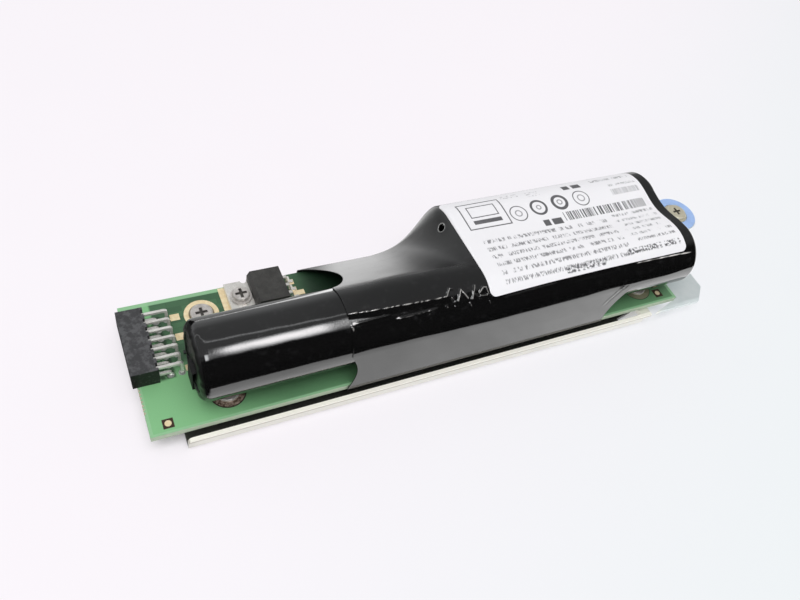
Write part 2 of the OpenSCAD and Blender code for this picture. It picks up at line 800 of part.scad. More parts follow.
module cell_jackets() {
    // Thin printed-free jacket, shrunk over both ends of its can
    h = cell_l - cap_h;
    r = cell_d / 2;
    e = can_edge_r;
    color([0.2, 0.42, 0.62]) for (p = cell_places) cell_at(p) rotate([0, 90, 0])
        rotate_extrude() polygon(concat(
            [[r - 2.4, 0]],
            arc(r - e - jacket_t, e + jacket_t, e + jacket_t, -90, 0, 6),
            arc(r - 0.5 - jacket_t, h - 0.5 - jacket_t, 0.5 + jacket_t, 0, 90, 4),
            [[r - 1.7, h], [r - 1.7, h - jacket_t]],
            arc(r - jacket_t - 0.5, h - jacket_t - 0.5, 0.5, 90, 0, 4),
            arc(r - e - jacket_t, jacket_t + e, e, 0, -90, 6),
            [[r - 2.4, jacket_t]]
        ));
}

// ---------------------------------------------------------------- nickel and leads

module positive_bridge() {
    // Strip welded to the front cell's cap, folded back over both rear caps
    t = nickel_t;
    x0 = front_cell_x + cell_l;
    x1 = rear_cell_x;
    fold_y = near_row_y - 4.6;
    color(tin) translate([0, 0, cell_z - nickel_w / 2]) linear_extrude(nickel_w) polygon([
        [x0, near_row_y + 3], [x0, fold_y], [x1, fold_y], [x1, far_row_y + 3],
        [x1 - t, far_row_y + 3], [x1 - t, fold_y + t], [x0 + t, fold_y + t],
        [x0 + t, near_row_y + 3]
    ]);
}

strip_z = cell_z - 5.6;
plate_x = rear_cell_x;
tab_w = 0.8 * nickel_w;
groove_w = 1.5;

module negative_strip() {
    // Bridge over the rear cells' closed ends, with a return strip in the lower groove
    t = nickel_t;
    half = nickel_w / 2;
    color(tin) {
        block(pack_end_x, pack_end_x + t, near_row_y - 3, far_row_y + 3,
              cell_z - half, cell_z + half);
        block(pack_end_x, pack_end_x + t, mid_y - groove_w, mid_y + groove_w,
              strip_z, cell_z - half + eps);
        block(plate_x, pack_end_x + eps, mid_y - groove_w, mid_y + groove_w,
              strip_z, strip_z + t);
        block(plate_x, plate_x + t, mid_y - groove_w, minus_y + 1, strip_z, cell_z - 3.9);
    }
}

module front_tab() {
    // Tab that leaves the front cell's closed end through the wrap's opening and turns
    // back onto its land under the cell
    t = nickel_t;
    x1 = front_cell_x;
    x0 = wrap_front_x - 0.05;
    jog_z = cell_z - 3.6;
    foot = land_t;
    end_x = tab_pad[0] + 1.2;
    color(tin) along_y(tab_pad[1] - tab_w / 2, tab_w) polygon([
        [x1, cell_z + 3], [x1, jog_z - t], [x0, jog_z - t], [x0, foot + t],
        [end_x, foot + t], [end_x, foot], [x0 - t, foot], [x0 - t, jog_z],
        [x1 - t, jog_z], [x1 - t, cell_z + 3]
    ]);
}

// Round insulated lead: back from its strip, then down to the board
module insulated_lead(x1, foot_x, y, z) {
    r = lead_d / 2;
    translate([foot_x + lead_bend, y, z]) rotate([0, 90, 0])
        cylinder(h = x1 - foot_x - lead_bend, r = r);
    translate([foot_x + lead_bend, y, z - lead_bend]) rotate([90, 0, 0])
        rotate([0, 0, 90]) rotate_extrude(angle = 90) translate([lead_bend, 0]) circle(r);
    post(foot_x, y, land_t, z - lead_bend, lead_d);
}

module positive_lead() {
    color([0.7, 0.12, 0.1])
        insulated_lead(rear_cell_x - nickel_t, plus_x, plus_y, cell_z - nickel_w / 2 + lead_d / 2);
}

module negative_lead() {
    color(film_black) insulated_lead(plate_x, minus_x, minus_y, cell_z - 4.6);
}

// ---------------------------------------------------------------- insulation

module front_end_disc() {
    // Black paper disc inside the wrap's front opening, cut away for the tab
    color(film_black) difference() {
        translate([front_cell_x - nickel_t - 0.22, near_row_y, cell_z]) rotate([0, 90, 0])
            cylinder(h = 0.2, r = wrap_r - wrap_lip - 0.1);
        block(0, front_cell_x + 1, tab_pad[1] - tab_w / 2 - 0.2, tab_pad[1] + tab_w / 2 + 0.2,
              0, cell_z - 2.9);
    }
}

module rear_end_paper() {
    // Insulating paper over the rear cells' closed ends and their nickel strip
    r = wrap_r - wrap_t - end_edge_r;
    color([0.25, 0.3, 0.36]) along_x(pack_end_x + nickel_t + snug, 0.2) {
        for (y = [near_row_y, far_row_y]) translate([y, cell_z]) circle(r);
        translate([near_row_y, cell_z - r + groove]) square([cell_pitch, 2 * (r - groove)]);
    }
}

module cell_spacer() {
    // Foam tape that keeps the two rear cells apart
    gap = cell_pitch - cell_d;
    color([0.4, 0.4, 0.42]) block(rear_cell_x + 4, pack_end_x - 4, mid_y - gap / 2,
                                  mid_y + gap / 2, cell_z - 1.5, cell_z + 1.5);
}

// The strips stop short of the board screws' lands
foam_clear = ring_land_d / 2 + 0.9;
foam_in = 4;

module foam_strips() {
    // Adhesive foam between the wrapped cells and the board
    color([0.3, 0.3, 0.31]) {
        block(front_screw_x + foam_clear, rear_cell_x - foam_clear, near_row_y - foam_w / 2,
              near_row_y + foam_w / 2, 0, foam_t);
        for (y = [near_row_y, far_row_y])
            block(rear_cell_x + foam_in, board_l - rear_screw_in - foam_clear,
                  y - foam_w / 2, y + foam_w / 2, 0, foam_t);
    }
}

// ---------------------------------------------------------------- inner wrap

// Round bar along x with its edges rounded by e0 in front and e1 at the rear
module pill(y, x0, x1, r, e0, e1) {
    turned_x(0, y, cell_z) polygon(concat(
        [[0, x0]],
        arc(r - e0, x0 + e0, e0, -90, 0, 6),
        arc(r - e1, x1 - e1, e1, 0, 90, 8),
        [[0, x1]]
    ));
}

web_in = 0.9;

// Body of the wrapped pack: one long round over the near row, a short one over the far
// cell and the web that joins them; inset draws every face in by the film's thickness
module wrapped(inset) {
    e0 = can_edge_r + wrap_t - inset;
    e1 = end_edge_r - inset;
    r = wrap_r - inset;
    web = wrap_r - groove - inset;
    pill(near_row_y, wrap_front_x + inset, wrap_rear_x - inset, r, e1, e1);
    pill(far_row_y, shoulder_x + inset, wrap_rear_x - inset, r, e0, e1);
    block(shoulder_x + inset, wrap_rear_x - web_in - inset,
          near_row_y, far_row_y, cell_z - web, cell_z + web);
}

module cell_wrap() {
    open_r = wrap_r - wrap_lip;
    color(film_black) difference() {
        wrapped(0);
        wrapped(wrap_t);
        // Openings left by the shrunk-over ends
        turned_x(wrap_front_x - 1, near_row_y, cell_z) square([open_r, 3]);
        turned_x(shoulder_x - 1, far_row_y, cell_z) square([open_r, 3]);
        for (y = [near_row_y, far_row_y])
            turned_x(wrap_rear_x - 1, y, cell_z) square([open_r - 1, 3]);
    }
}

// ---------------------------------------------------------------- outer sleeve

// Direction square to the straight film that leaves circle a for circle b
function leave_angle(a, b) =
    let (dy = b[0] - a[0], dz = b[1] - a[1])
    atan2(dz, dy) + acos((a[2] - b[2]) / norm([dy, dz]));

near_wall_a = leave_angle(near_edge, near_round);
far_wall_a = leave_angle(far_round, far_edge);

// How far the far side has swelled from the bare board edge to the full cell, 0 to 1
function swell(x) =
    let (t = min(1, max(0, (x - sleeve_x + 4) / (flare_end_x - sleeve_x + 4))))
    max(0.03, 0.24 * pow(t, 4.3) + 0.76 * (0.5 - 0.5 * cos(180 * pow(t, 6))));

function on_circle(c, a, grow) = [c[0] + (c[2] + grow) * cos(a), c[1] + (c[2] + grow) * sin(a)];

// Point of the straight film from circle a to circle b, sagging by dip in its middle
function on_span(c0, c1, a, t, grow, dip) =
    mix(on_circle(c0, a, grow), on_circle(c1, a, grow), t)
    - dip * pow(sin(180 * t), 2) * [cos(a), sin(a)];

// Height of the pressed seam on the near shoulder at direction a
function seam(a) = seam_h * pow(max(0, cos(9 * (a - 120))), 0.5) * (abs(a - 120) < 10 ? 1 : 0);

// Spans of the ring, one after the other, and the number of steps in each
edge_n = 4;
wall_n = 5;
near_n = 18;
top_n = 10;
far_n = 12;
drop_n = 3;
under_n = 2;
span_steps = [edge_n, wall_n, near_n, top_n, far_n, drop_n, edge_n, under_n];
span_start = [for (i = 0, sum = 0; i < len(span_steps); sum = sum + span_steps[i], i = i + 1) sum];
ring_n = span_start[7] + under_n;

// Span and place in it of ring point j: near edge, near wall, near cell, top, far cell,
// far wall, far edge, underside
function span_of(j) =
    let (k = max([for (i = [0 : len(span_start) - 1]) if (j >= span_start[i]) i]))
    [k, (j - span_start[k]) / span_steps[k]];

// Place in y and z of ring point j at x; grow moves the film square to itself
function film_point(j, x, grow) =
    let (
        s = swell(x),
        far = mix(far_edge, far_round, s),
        top_a = leave_angle(near_round, far),
        dip = mix(flare_dip, valley_dip, s),
        k = span_of(j), t = k[1]
    )
    k[0] == 0 ? on_circle(near_edge, mix(270, near_wall_a, t), grow) :
    k[0] == 1 ? on_span(near_edge, near_round, near_wall_a, t, grow, 0) :
    k[0] == 2 ? let (a = mix(near_wall_a, top_a, t)) on_circle(near_round, a, grow + seam(a)) :
    k[0] == 3 ? on_span(near_round, far, top_a, t, grow, dip) :
    k[0] == 4 ? on_circle(far, mix(top_a, far_wall_a, t), grow) :
    k[0] == 5 ? on_span(far, far_edge, far_wall_a, t, grow, 0) :
    k[0] == 6 ? on_circle(far_edge, mix(far_wall_a, -90, t), grow) :
    on_span(far_edge, near_edge, -90, t, grow, 0);

// Front edge at ring point j: drawn back between board and cell on both sides
function front_x(j) =
    let (k = span_of(j))
    sleeve_x + (k[0] == 1 ? near_bow * sin(180 * k[1]) :
                k[0] == 3 ? arch_bow * pow(sin(180 * k[1]), 0.6) : 0);

// Rear edge at ring point j: short along the board, long over the cells
function rear_x(j) =
    let (
        k = span_of(j), t = k[1],
        low = sleeve_x + sleeve_low_l,
        mid = low + sleeve_slant,
        lift = k[0] == 2 ? t * near_n / 3 : (1 - t) * far_n / 3
    )
    k[0] == 1 ? mix(low, mid, t * t) :
    k[0] == 5 ? mix(low, mid, pow(1 - t, 2)) :
    k[0] == 2 || k[0] == 4 ? mix(mid, sleeve_high_x, min(1, lift)) :
    k[0] == 3 ? sleeve_high_x : low;

flare_n = 20;
plain_n = 2;
tail_n = 4;
long_n = flare_n + plain_n + tail_n;

// x of station i on ring line j: closer and closer steps up the flare, then out to the
// rear edge
function film_x(i, j) =
    let (full = flare_end_x + 0.2, plain = sleeve_x + sleeve_low_l - 10)
    i <= flare_n ? mix(front_x(j), full, 1 - pow(1 - i / flare_n, 1.6)) :
    i <= flare_n + plain_n ? mix(full, plain, (i - flare_n) / plain_n) :
    mix(plain, rear_x(j), (i - flare_n - plain_n) / tail_n);

function film_grid(grow) = [for (i = [0 : long_n], j = [0 : ring_n - 1])
    let (x = film_x(i, j), p = film_point(j, x, grow)) [x, p[0], p[1]]];

module outer_sleeve() {
    size = (long_n + 1) * ring_n;
    points = concat(film_grid(0), film_grid(-sleeve_t));
    // Outer wall, inner wall, front rim and rear rim
    quads = [for (i = [0 : long_n - 1], j = [0 : ring_n - 1])
        let (a = i * ring_n + j, b = i * ring_n + (j + 1) % ring_n) [a, b, b + ring_n, a + ring_n]];
    rim = [for (j = [0 : ring_n - 1]) [j, j + size, (j + 1) % ring_n + size, (j + 1) % ring_n]];
    faces = concat(
        quads,
        [for (q = quads) [q[3] + size, q[2] + size, q[1] + size, q[0] + size]],
        rim,
        [for (q = rim) let (o = long_n * ring_n) [q[3] + o, q[2] + o, q[1] + o, q[0] + o]]
    );
    color(film_black) polyhedron(points, [for (q = faces, h = [0, 1])
        h == 0 ? [q[0], q[1], q[2]] : [q[0], q[2], q[3]]]);
}

// ---------------------------------------------------------------- label

label_x = shoulder_x - label_early;
label_lift = 0.08;
label_round_n = 5;
label_arc_n = 7;
label_top_n = 8;
label_n = 2 * label_arc_n + label_top_n;

// How far the label's long edge draws in at distance d from its end
function corner_in(d) = d >= label_r ? 0 : label_r - sqrt(pow(label_r, 2) - pow(label_r - d, 2));

function label_station(i) =
    i <= label_round_n ? label_r * (1 - cos(90 * i / label_round_n)) :
    label_l - label_r * (1 - cos(90 * (2 * label_round_n + 1 - i) / label_round_n));

// Place of label point j at distance d along it: shoulder, valley, shoulder
function label_point(j, d, grow) =
    let (
        s = swell(label_x + d),
        far = mix(far_edge, far_round, s),
        top_a = leave_angle(near_round, far),
        dip = mix(flare_dip, valley_dip, s),
        drop = label_wrap - corner_in(min(d, label_l - d)) / sleeve_r * 180 / PI,
        u = j / label_arc_n,
        v = (j - label_arc_n) / label_top_n,
        w = (j - label_arc_n - label_top_n) / label_arc_n
    )
    u < 1 ? let (a = mix(90 + drop, top_a, u)) on_circle(near_round, a, grow + seam(a)) :
    v < 1 ? on_span(near_round, far, top_a, v, grow, dip) :
    on_circle(far, mix(top_a, 90 - drop, w), grow);

module pack_label() {
    rows = 2 * label_round_n + 1;
    wide = label_n + 1;
    size = (rows + 1) * wide;
    points = [for (g = [label_lift + label_t, label_lift], i = [0 : rows], j = [0 : label_n])
        let (d = label_station(i), p = label_point(j, d, g)) [label_x + d, p[0], p[1]]];
    quads = [for (i = [0 : rows - 1], j = [0 : label_n - 1])
        let (a = i * wide + j) [a, a + 1, a + 1 + wide, a + wide]];
    ends = [for (j = [0 : label_n - 1]) each [
        [j, j + size, j + 1 + size, j + 1],
        [for (k = [j + 1, j + 1 + size, j + size, j]) k + rows * wide]
    ]];
    sides = [for (i = [0 : rows - 1]) each [
        [i * wide, (i + 1) * wide, (i + 1) * wide + size, i * wide + size],
        [for (k = [size, size + wide, wide, 0]) i * wide + label_n + k]
    ]];
    faces = concat(quads, [for (q = quads) [q[3] + size, q[2] + size, q[1] + size, q[0] + size]],
                   ends, sides);
    color("white") polyhedron(points, [for (q = faces, h = [0, 1])
        h == 0 ? [q[0], q[1], q[2]] : [q[0], q[2], q[3]]]);
}

// ---------------------------------------------------------------- fixing point

retainer_d = 6;
retainer_t = 0.5;
retainer_top = ear_top - sheet_t - 0.05;
thread_top = retainer_top - retainer_t - 0.15;

module touch_ring() {
    color([0.5, 0.68, 0.93]) difference() {
        post(fix_x, fix_y, ear_top, ear_top + touch_t, touch_d);
        post(fix_x, fix_y, ear_top - 1, ear_top + 2, touch_hole_d);
    }
}

module fixing_washer() {
    color(steel) difference() {
        post(fix_x, fix_y, ear_top, ear_top + fix_washer_t, fix_washer_d);
        post(fix_x, fix_y, ear_top - 1, ear_top + 2, plain_hole_d);
    }
}

// Captive screw: a thread below a thinner neck
module fixing_screw() {
    color(steel) {
        head_screw(fix_x, fix_y, ear_top + fix_washer_t, fix_head_d, pan_h, thread_top, neck_d);
        post(fix_x, fix_y, foot_z + tip_up, thread_top + eps, thread_d);
    }
}

module screw_retainer() {
    // Thin ring on the neck under the tongue, which keeps the screw with the module
    color(chip_black) difference() {
        post(fix_x, fix_y, retainer_top - retainer_t, retainer_top, retainer_d);
        post(fix_x, fix_y, foot_z, ear_top, neck_d + 2 * thread_gap);
    }
}

// ---------------------------------------------------------------- pieces

placed() carrier_tray();
placed() tray_standoffs();
placed() circuit_board();
placed() plated_lands();
placed() board_screws();
placed() header_housing();
placed() upper_contacts();
placed() lower_contacts();
placed() solder_joints();
placed() regulator_body();
placed() regulator_tab();
placed() regulator_leads();
placed() regulator_screw();
placed() spring_washer();
placed() regulator_nut();
placed() charger_chip();
placed() gauge_chip();
placed() chip_leads();
placed() chip_resistors();
placed() chip_capacitors();
placed() power_inductor();
placed() thermal_sensor();
placed() front_cell();
placed() near_cell();
placed() far_cell();
placed() cell_caps();
placed() cap_gaskets();
placed() cell_jackets();
placed() positive_bridge();
placed() negative_strip();
placed() front_tab();
placed() positive_lead();
placed() negative_lead();
placed() front_end_disc();
placed() rear_end_paper();
placed() cell_spacer();
placed() foam_strips();
placed() cell_wrap();
placed() outer_sleeve();
placed() pack_label();
placed() touch_ring();
placed() fixing_screw();
placed() fixing_washer();
placed() screw_retainer();
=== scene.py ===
"""Battery backup module for a disk array controller: looks, stage and camera.

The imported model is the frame. The two films, the cover in the wrap's front opening and the
label are surfaces worked out here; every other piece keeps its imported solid. All of them get
their finish from procedural materials. Surfaces are worked out in millimetres from the
board's near front top corner: x along the board, y across it, z up.
"""
import functools
import json
import math
from types import SimpleNamespace

import bpy
import numpy as np
from bpy.props import FloatProperty, FloatVectorProperty, PointerProperty
from mathutils import Matrix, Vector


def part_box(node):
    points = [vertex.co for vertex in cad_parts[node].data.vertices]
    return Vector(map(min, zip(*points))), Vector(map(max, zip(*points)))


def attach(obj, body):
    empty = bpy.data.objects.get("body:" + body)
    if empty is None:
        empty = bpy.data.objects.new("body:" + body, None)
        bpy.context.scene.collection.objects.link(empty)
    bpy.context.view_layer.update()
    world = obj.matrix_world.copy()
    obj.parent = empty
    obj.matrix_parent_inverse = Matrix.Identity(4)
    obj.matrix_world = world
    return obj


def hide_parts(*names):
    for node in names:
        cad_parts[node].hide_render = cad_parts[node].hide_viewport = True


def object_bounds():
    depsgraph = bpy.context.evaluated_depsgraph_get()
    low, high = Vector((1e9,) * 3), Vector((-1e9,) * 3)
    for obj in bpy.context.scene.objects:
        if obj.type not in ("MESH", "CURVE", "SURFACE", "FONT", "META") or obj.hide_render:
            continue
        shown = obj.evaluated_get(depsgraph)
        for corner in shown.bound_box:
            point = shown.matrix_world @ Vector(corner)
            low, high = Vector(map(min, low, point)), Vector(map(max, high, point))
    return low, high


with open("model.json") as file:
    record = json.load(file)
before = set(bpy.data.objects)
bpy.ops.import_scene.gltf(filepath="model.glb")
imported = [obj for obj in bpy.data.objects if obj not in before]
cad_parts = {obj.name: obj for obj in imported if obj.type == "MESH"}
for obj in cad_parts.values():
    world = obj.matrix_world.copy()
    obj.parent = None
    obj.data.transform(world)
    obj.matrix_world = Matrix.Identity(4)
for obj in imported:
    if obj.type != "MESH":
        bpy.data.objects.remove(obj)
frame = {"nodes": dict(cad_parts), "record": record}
CAD_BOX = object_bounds()

bl_info = {
    "name": "Battery backup module",
    "version": (1, 0, 0),
    "blender": (4, 5, 0),
    "location": "3D View > Sidebar > Battery module",
    "description": "Dresses the battery backup module and sets up its stage",
    "category": "Object",
}

MM = 0.001
BOARD_LOW, BOARD_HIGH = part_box("circuit_board")
DATUM = np.array([BOARD_LOW.x, BOARD_LOW.y, BOARD_HIGH.z])
BOARD_L = (BOARD_HIGH.x - BOARD_LOW.x) / MM
BOARD_W = (BOARD_HIGH.y - BOARD_LOW.y) / MM
BOARD_T = (BOARD_HIGH.z - BOARD_LOW.z) / MM
FLOOR = CAD_BOX[0][2]


def board_box(node):
    """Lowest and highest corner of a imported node, in millimetres from the datum."""
    low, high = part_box(node)
    return (np.array(low) - DATUM) / MM, (np.array(high) - DATUM) / MM


# ---- properties


def length(name, description, default_mm):
    """A length in millimetres, kept as a property in metres."""
    return FloatProperty(name=name, description=description, default=default_mm * MM,
                         min=0.0, precision=5, subtype="DISTANCE", unit="LENGTH")


def colour(name, description, rgb):
    """A colour property, in linear values."""
    return FloatVectorProperty(name=name, description=description, default=rgb, size=3,
                               min=0.0, max=1.0, subtype="COLOR")


def in_mm(group):
    """The lengths of a property group, in millimetres."""
    names = group.__annotations__
    return SimpleNamespace(**{name: getattr(group, name) / MM for name in names})


class FilmSizes(bpy.types.PropertyGroup):
    """Sizes of the two shrunk films"""

    cell_d: length("Cell", "Diameter of a cell over its jacket", 18.2)
    wrap_gap: length("Wrap gap", "Clearance between a cell and the inner wrap", 0.03)
    wrap_t: length("Wrap thickness", "Thickness of the inner wrap", 0.15)
    wrap_lip: length("Wrap lip", "Width of the wrap's shrunk-over end", 2.6)
    sleeve_gap: length("Sleeve gap", "Clearance between the wrap and the sleeve", 0.06)
    sleeve_t: length("Sleeve thickness", "Thickness of the outer sleeve", 0.25)
    near_bow: length("Near bow", "How far the front edge draws back on the near side", 1.8)
    arch_bow: length("Arch bow", "How far the front edge draws back in the arch", 6.3)
    low_l: length("Low edge", "Length of the sleeve along the board's edges", 75.3)
    slant: length("Slant", "Length of the slanted rear edge", 5.6)
    valley_dip: length("Valley", "Depth of the valley between the rear cells' ends", 1.3)
    seam_h: length("Seam", "Height of the pressed seam on the near shoulder", 0.3)
    seam_fall: length("Seam step", "How far the film falls away below the seam", 0.3)
    crease_h: length("Crease", "Height of the small creases in front of the rear cells", 0.22)
    groove: length("Groove", "Depth of the groove between the wrapped rear cells", 2.2)
    end_edge: length("End edge", "Radius of the wrap's ends", 2.2)
    far_edge: length("Far front edge", "Radius of the wrap's front edge on the far cell", 1.15)


class LabelSizes(bpy.types.PropertyGroup):
    """Sizes of the label"""

    early: length("Start", "How far the label starts before the far cell's shoulder", 0.9)
    long: length("Length", "Length of the label", 62.6)
    thick: length("Thickness", "Thickness of the label", 0.12)
    corner_r: length("Corner", "Radius of the label's corners", 1.6)
    lift: length("Lift", "Height of the label's underside over the sleeve", 0.08)
    shift: length("Shift", "How far the label is stuck on towards the rear", 0.4)


class ModuleColours(bpy.types.PropertyGroup):
    """Colours of the main finishes"""

    film: colour("Film", "Black shrink film", (0.0045, 0.0044, 0.0045))
    label: colour("Label", "White of the label", (0.87, 0.855, 0.875))
    print_ink: colour("Print", "Ink of the printed shapes", (0.035, 0.035, 0.04))
    mask: colour("Solder mask", "Green solder mask over copper", (0.045, 0.105, 0.055))
    laminate: colour("Laminate", "Green of the board where it has no copper",
                     (0.22, 0.49, 0.23))
    ring: colour("Touch ring", "Blue ring round the fixing screw", (0.38, 0.55, 0.9))
    tray: colour("Tray", "Passivated sheet of the tray", (0.72, 0.72, 0.66))


# ---- meshes


def stacked(x, y, z):
    """Points of a grid from their three coordinates, each brought to the grid's shape."""
    return np.stack(np.broadcast_arrays(x, y, z), -1)


def quads(rows, columns, loop_rows=False, loop_columns=False):
    """Corner numbers of the faces of a grid of points, turned to face outwards when the
    rows run along +x and the columns run anticlockwise seen from +x."""
    here = np.arange(rows * columns).reshape(rows, columns)
    below = np.roll(here, -1, 0)
    faces = np.stack([here, below, np.roll(below, -1, 1), np.roll(here, -1, 1)], -1)
    return faces[:rows - (not loop_rows), :columns - (not loop_columns)].reshape(-1, 4)


def make_object(name, points, faces, uv=None, painted_highlight=None):
    """A smooth mesh object from an array of points in board millimetres and an array of
    four-cornered faces; uv gives one pair and the painted highlight one value for each point."""
    mesh = bpy.data.meshes.new(name)
    points = DATUM + MM * np.reshape(points, (-1, 3))
    mesh.from_pydata(points.tolist(), [], faces.tolist(), shade_flat=False)
    if uv is not None:
        flat = np.reshape(uv, (-1, 2))[faces.ravel()]
        mesh.uv_layers.new(name="surface").data.foreach_set("uv", flat.ravel())
    # Strength of the painted highlight, the catch-light of the film's ridges
    if painted_highlight is not None:
        layer = mesh.attributes.new("painted_highlight", "FLOAT", "POINT")
        layer.data.foreach_set("value", painted_highlight.ravel())
    made = bpy.data.objects.new(name, mesh)
    bpy.context.scene.collection.objects.link(made)
    return made


def finish_piece(piece, slot, *nodes, look=None):
    """The piece rides on the module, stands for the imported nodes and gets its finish: its
    slot's, or another slot's that it looks like."""
    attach(piece, "root")
    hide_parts(*nodes)
    piece.data.materials.append(material_table()[look or slot])


def closed_walls(outer, inner):
    """Points and faces of a tube with a wall: the outer grid from front to rear, then the
    inner grid back to the front, joined in both directions."""
    grid = np.concatenate([outer, inner[::-1]])
    rows, columns = grid.shape[:2]
    return grid, quads(rows, columns, True, True)


def joined(parts):
    """Points and faces of several grids, one after the other."""
    points, faces, start = [], [], 0
    for grid, corners in parts:
        points.append(grid.reshape(-1, 3))
        faces.append(corners + start)
        start += grid.size // 3
    return np.concatenate(points), np.concatenate(faces)


# ---- shapes of the films


def lerp(a, b, t):
    """The value at the share t of the way from a to b."""
    return a + (b - a) * t


def smooth(low, high, value):
    """0 below low, 1 above high and an s-curve between."""
    t = np.clip((value - low) / (high - low), 0, 1)
    return t * t * (3 - 2 * t)


# Inner radius of the sleeve's bend round the board's edges
EDGE_BEND = 1.2


def film_frame():
    """The fixed lines of both films: cell axes, radii and ends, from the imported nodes."""
    s = in_mm(bpy.context.scene.film_sizes)
    label = in_mm(bpy.context.scene.label_sizes)
    sleeve_low, sleeve_high = board_box("outer_sleeve")
    wrap_low, wrap_high = board_box("cell_wrap")
    s.wrap_r = s.cell_d / 2 + s.wrap_gap + s.wrap_t
    s.sleeve_r = s.wrap_r + s.sleeve_gap + s.sleeve_t
    s.near_y = wrap_low[1] + s.wrap_r
    s.far_y = wrap_high[1] - s.wrap_r
    s.cell_z = wrap_high[2] - s.wrap_r
    s.wrap_front, s.wrap_rear = wrap_low[0], wrap_high[0]
    s.sleeve_x, s.high_x = sleeve_low[0], sleeve_high[0]
    s.shoulder = board_box("pack_label")[0][0] + label.early
    s.edge_r = EDGE_BEND + s.sleeve_t
    s.edge_in = BOARD_T / 2
    return s


def swell(s, x):
    """How far the far side has risen from the bare board edge to the full cell, 0 to 1: a
    power of the distance up the flare for its slow start, and a raised cosine for the
    steep end."""
    t = np.clip((x - s.sleeve_x + 4) / (s.shoulder + 0.1 - s.sleeve_x + 4), 0, 1)
    return np.maximum(0.03, 0.24 * t ** 4.3 + 0.76 * (0.5 - 0.5 * np.cos(np.pi * t ** 6)))


def leave_angle(y0, z0, r0, y1, z1, r1):
    """Direction square to the straight film that leaves one circle for the next."""
    dy, dz = y1 - y0, z1 - z0
    return np.arctan2(dz, dy) + np.arccos((r0 - r1) / np.hypot(dy, dz))


def sleeve_rounds(s, x):
    """What the sleeve runs round at x: the circles (y, z and radius) of the near edge, the
    near cell, the far side on its way up from the edge to the cell, and the far edge; and
    the directions square to the film under the board, on the near wall, on top, on the far
    wall and under the board again."""
    edges = [(y, -BOARD_T / 2, s.edge_r) for y in (s.edge_in, BOARD_W - s.edge_in)]
    near, far = [(y, s.cell_z, s.sleeve_r) for y in (s.near_y, s.far_y)]
    risen = tuple(lerp(a, b, swell(s, x)) for a, b in zip(edges[1], far))
    angles = (1.5 * np.pi, leave_angle(*edges[0], *near), leave_angle(*near, *risen),
              leave_angle(*far, *edges[1]), -0.5 * np.pi)
    return (edges[0], near, risen, edges[1]), [angle + 0 * x for angle in angles]


def sleeve_ring(s, x, u, grow):
    """Point of the sleeve's outer wall at x and ring place u, which counts the spans of the
    ring: 0-1 round the board's near edge, 1-2 up the near wall, 2-3 round the near cell,
    3-4 across the valley, 4-5 round the far cell, 5-6 down the far wall, 6-7 round the far
    edge, 7-8 back under the board. Arcs turn evenly in angle, spans are straight with a
    squared sine for their sag, and grow moves the point square to the film."""
    circles, angles = sleeve_rounds(s, x)
    k = np.minimum(np.floor(u), 7).astype(int)
    t = u - k
    dip = s.valley_dip * smooth(s.shoulder - 4, s.shoulder + 50, x)

    def arc(circle, angle):
        y, z, r = circle
        r = r + grow
        return stacked(x, y + r * np.cos(angle), z + r * np.sin(angle))

    pieces = []
    for i, sag in enumerate((0, dip, 0, 0)):
        angle = angles[i + 1]
        drop = sag * np.sin(np.pi * np.clip(t, 0, 1)) ** 2
        straight = lerp(arc(circles[i], angle), arc(circles[(i + 1) % 4], angle), t[..., None])
        pieces += [arc(circles[i], lerp(angles[i], angle, t)),
                   straight - stacked(0 * x, np.cos(angle) * drop, np.sin(angle) * drop)]
    return np.choose(k[..., None], pieces)


def shoulder_angle(s, points):
    """Angle of a point round the near cells' axis, in degrees from level towards the near
    side, so that 90 is straight up."""
    return np.degrees(np.arctan2(points[..., 2] - s.cell_z, s.near_y - points[..., 1]))


# The seam's line down the near shoulder: x, and angle in degrees
SEAM = ((45.0, 50.0, 60.0, 67.0, 69.8), (71.4, 68.8, 66.2, 64.2, 64.8))
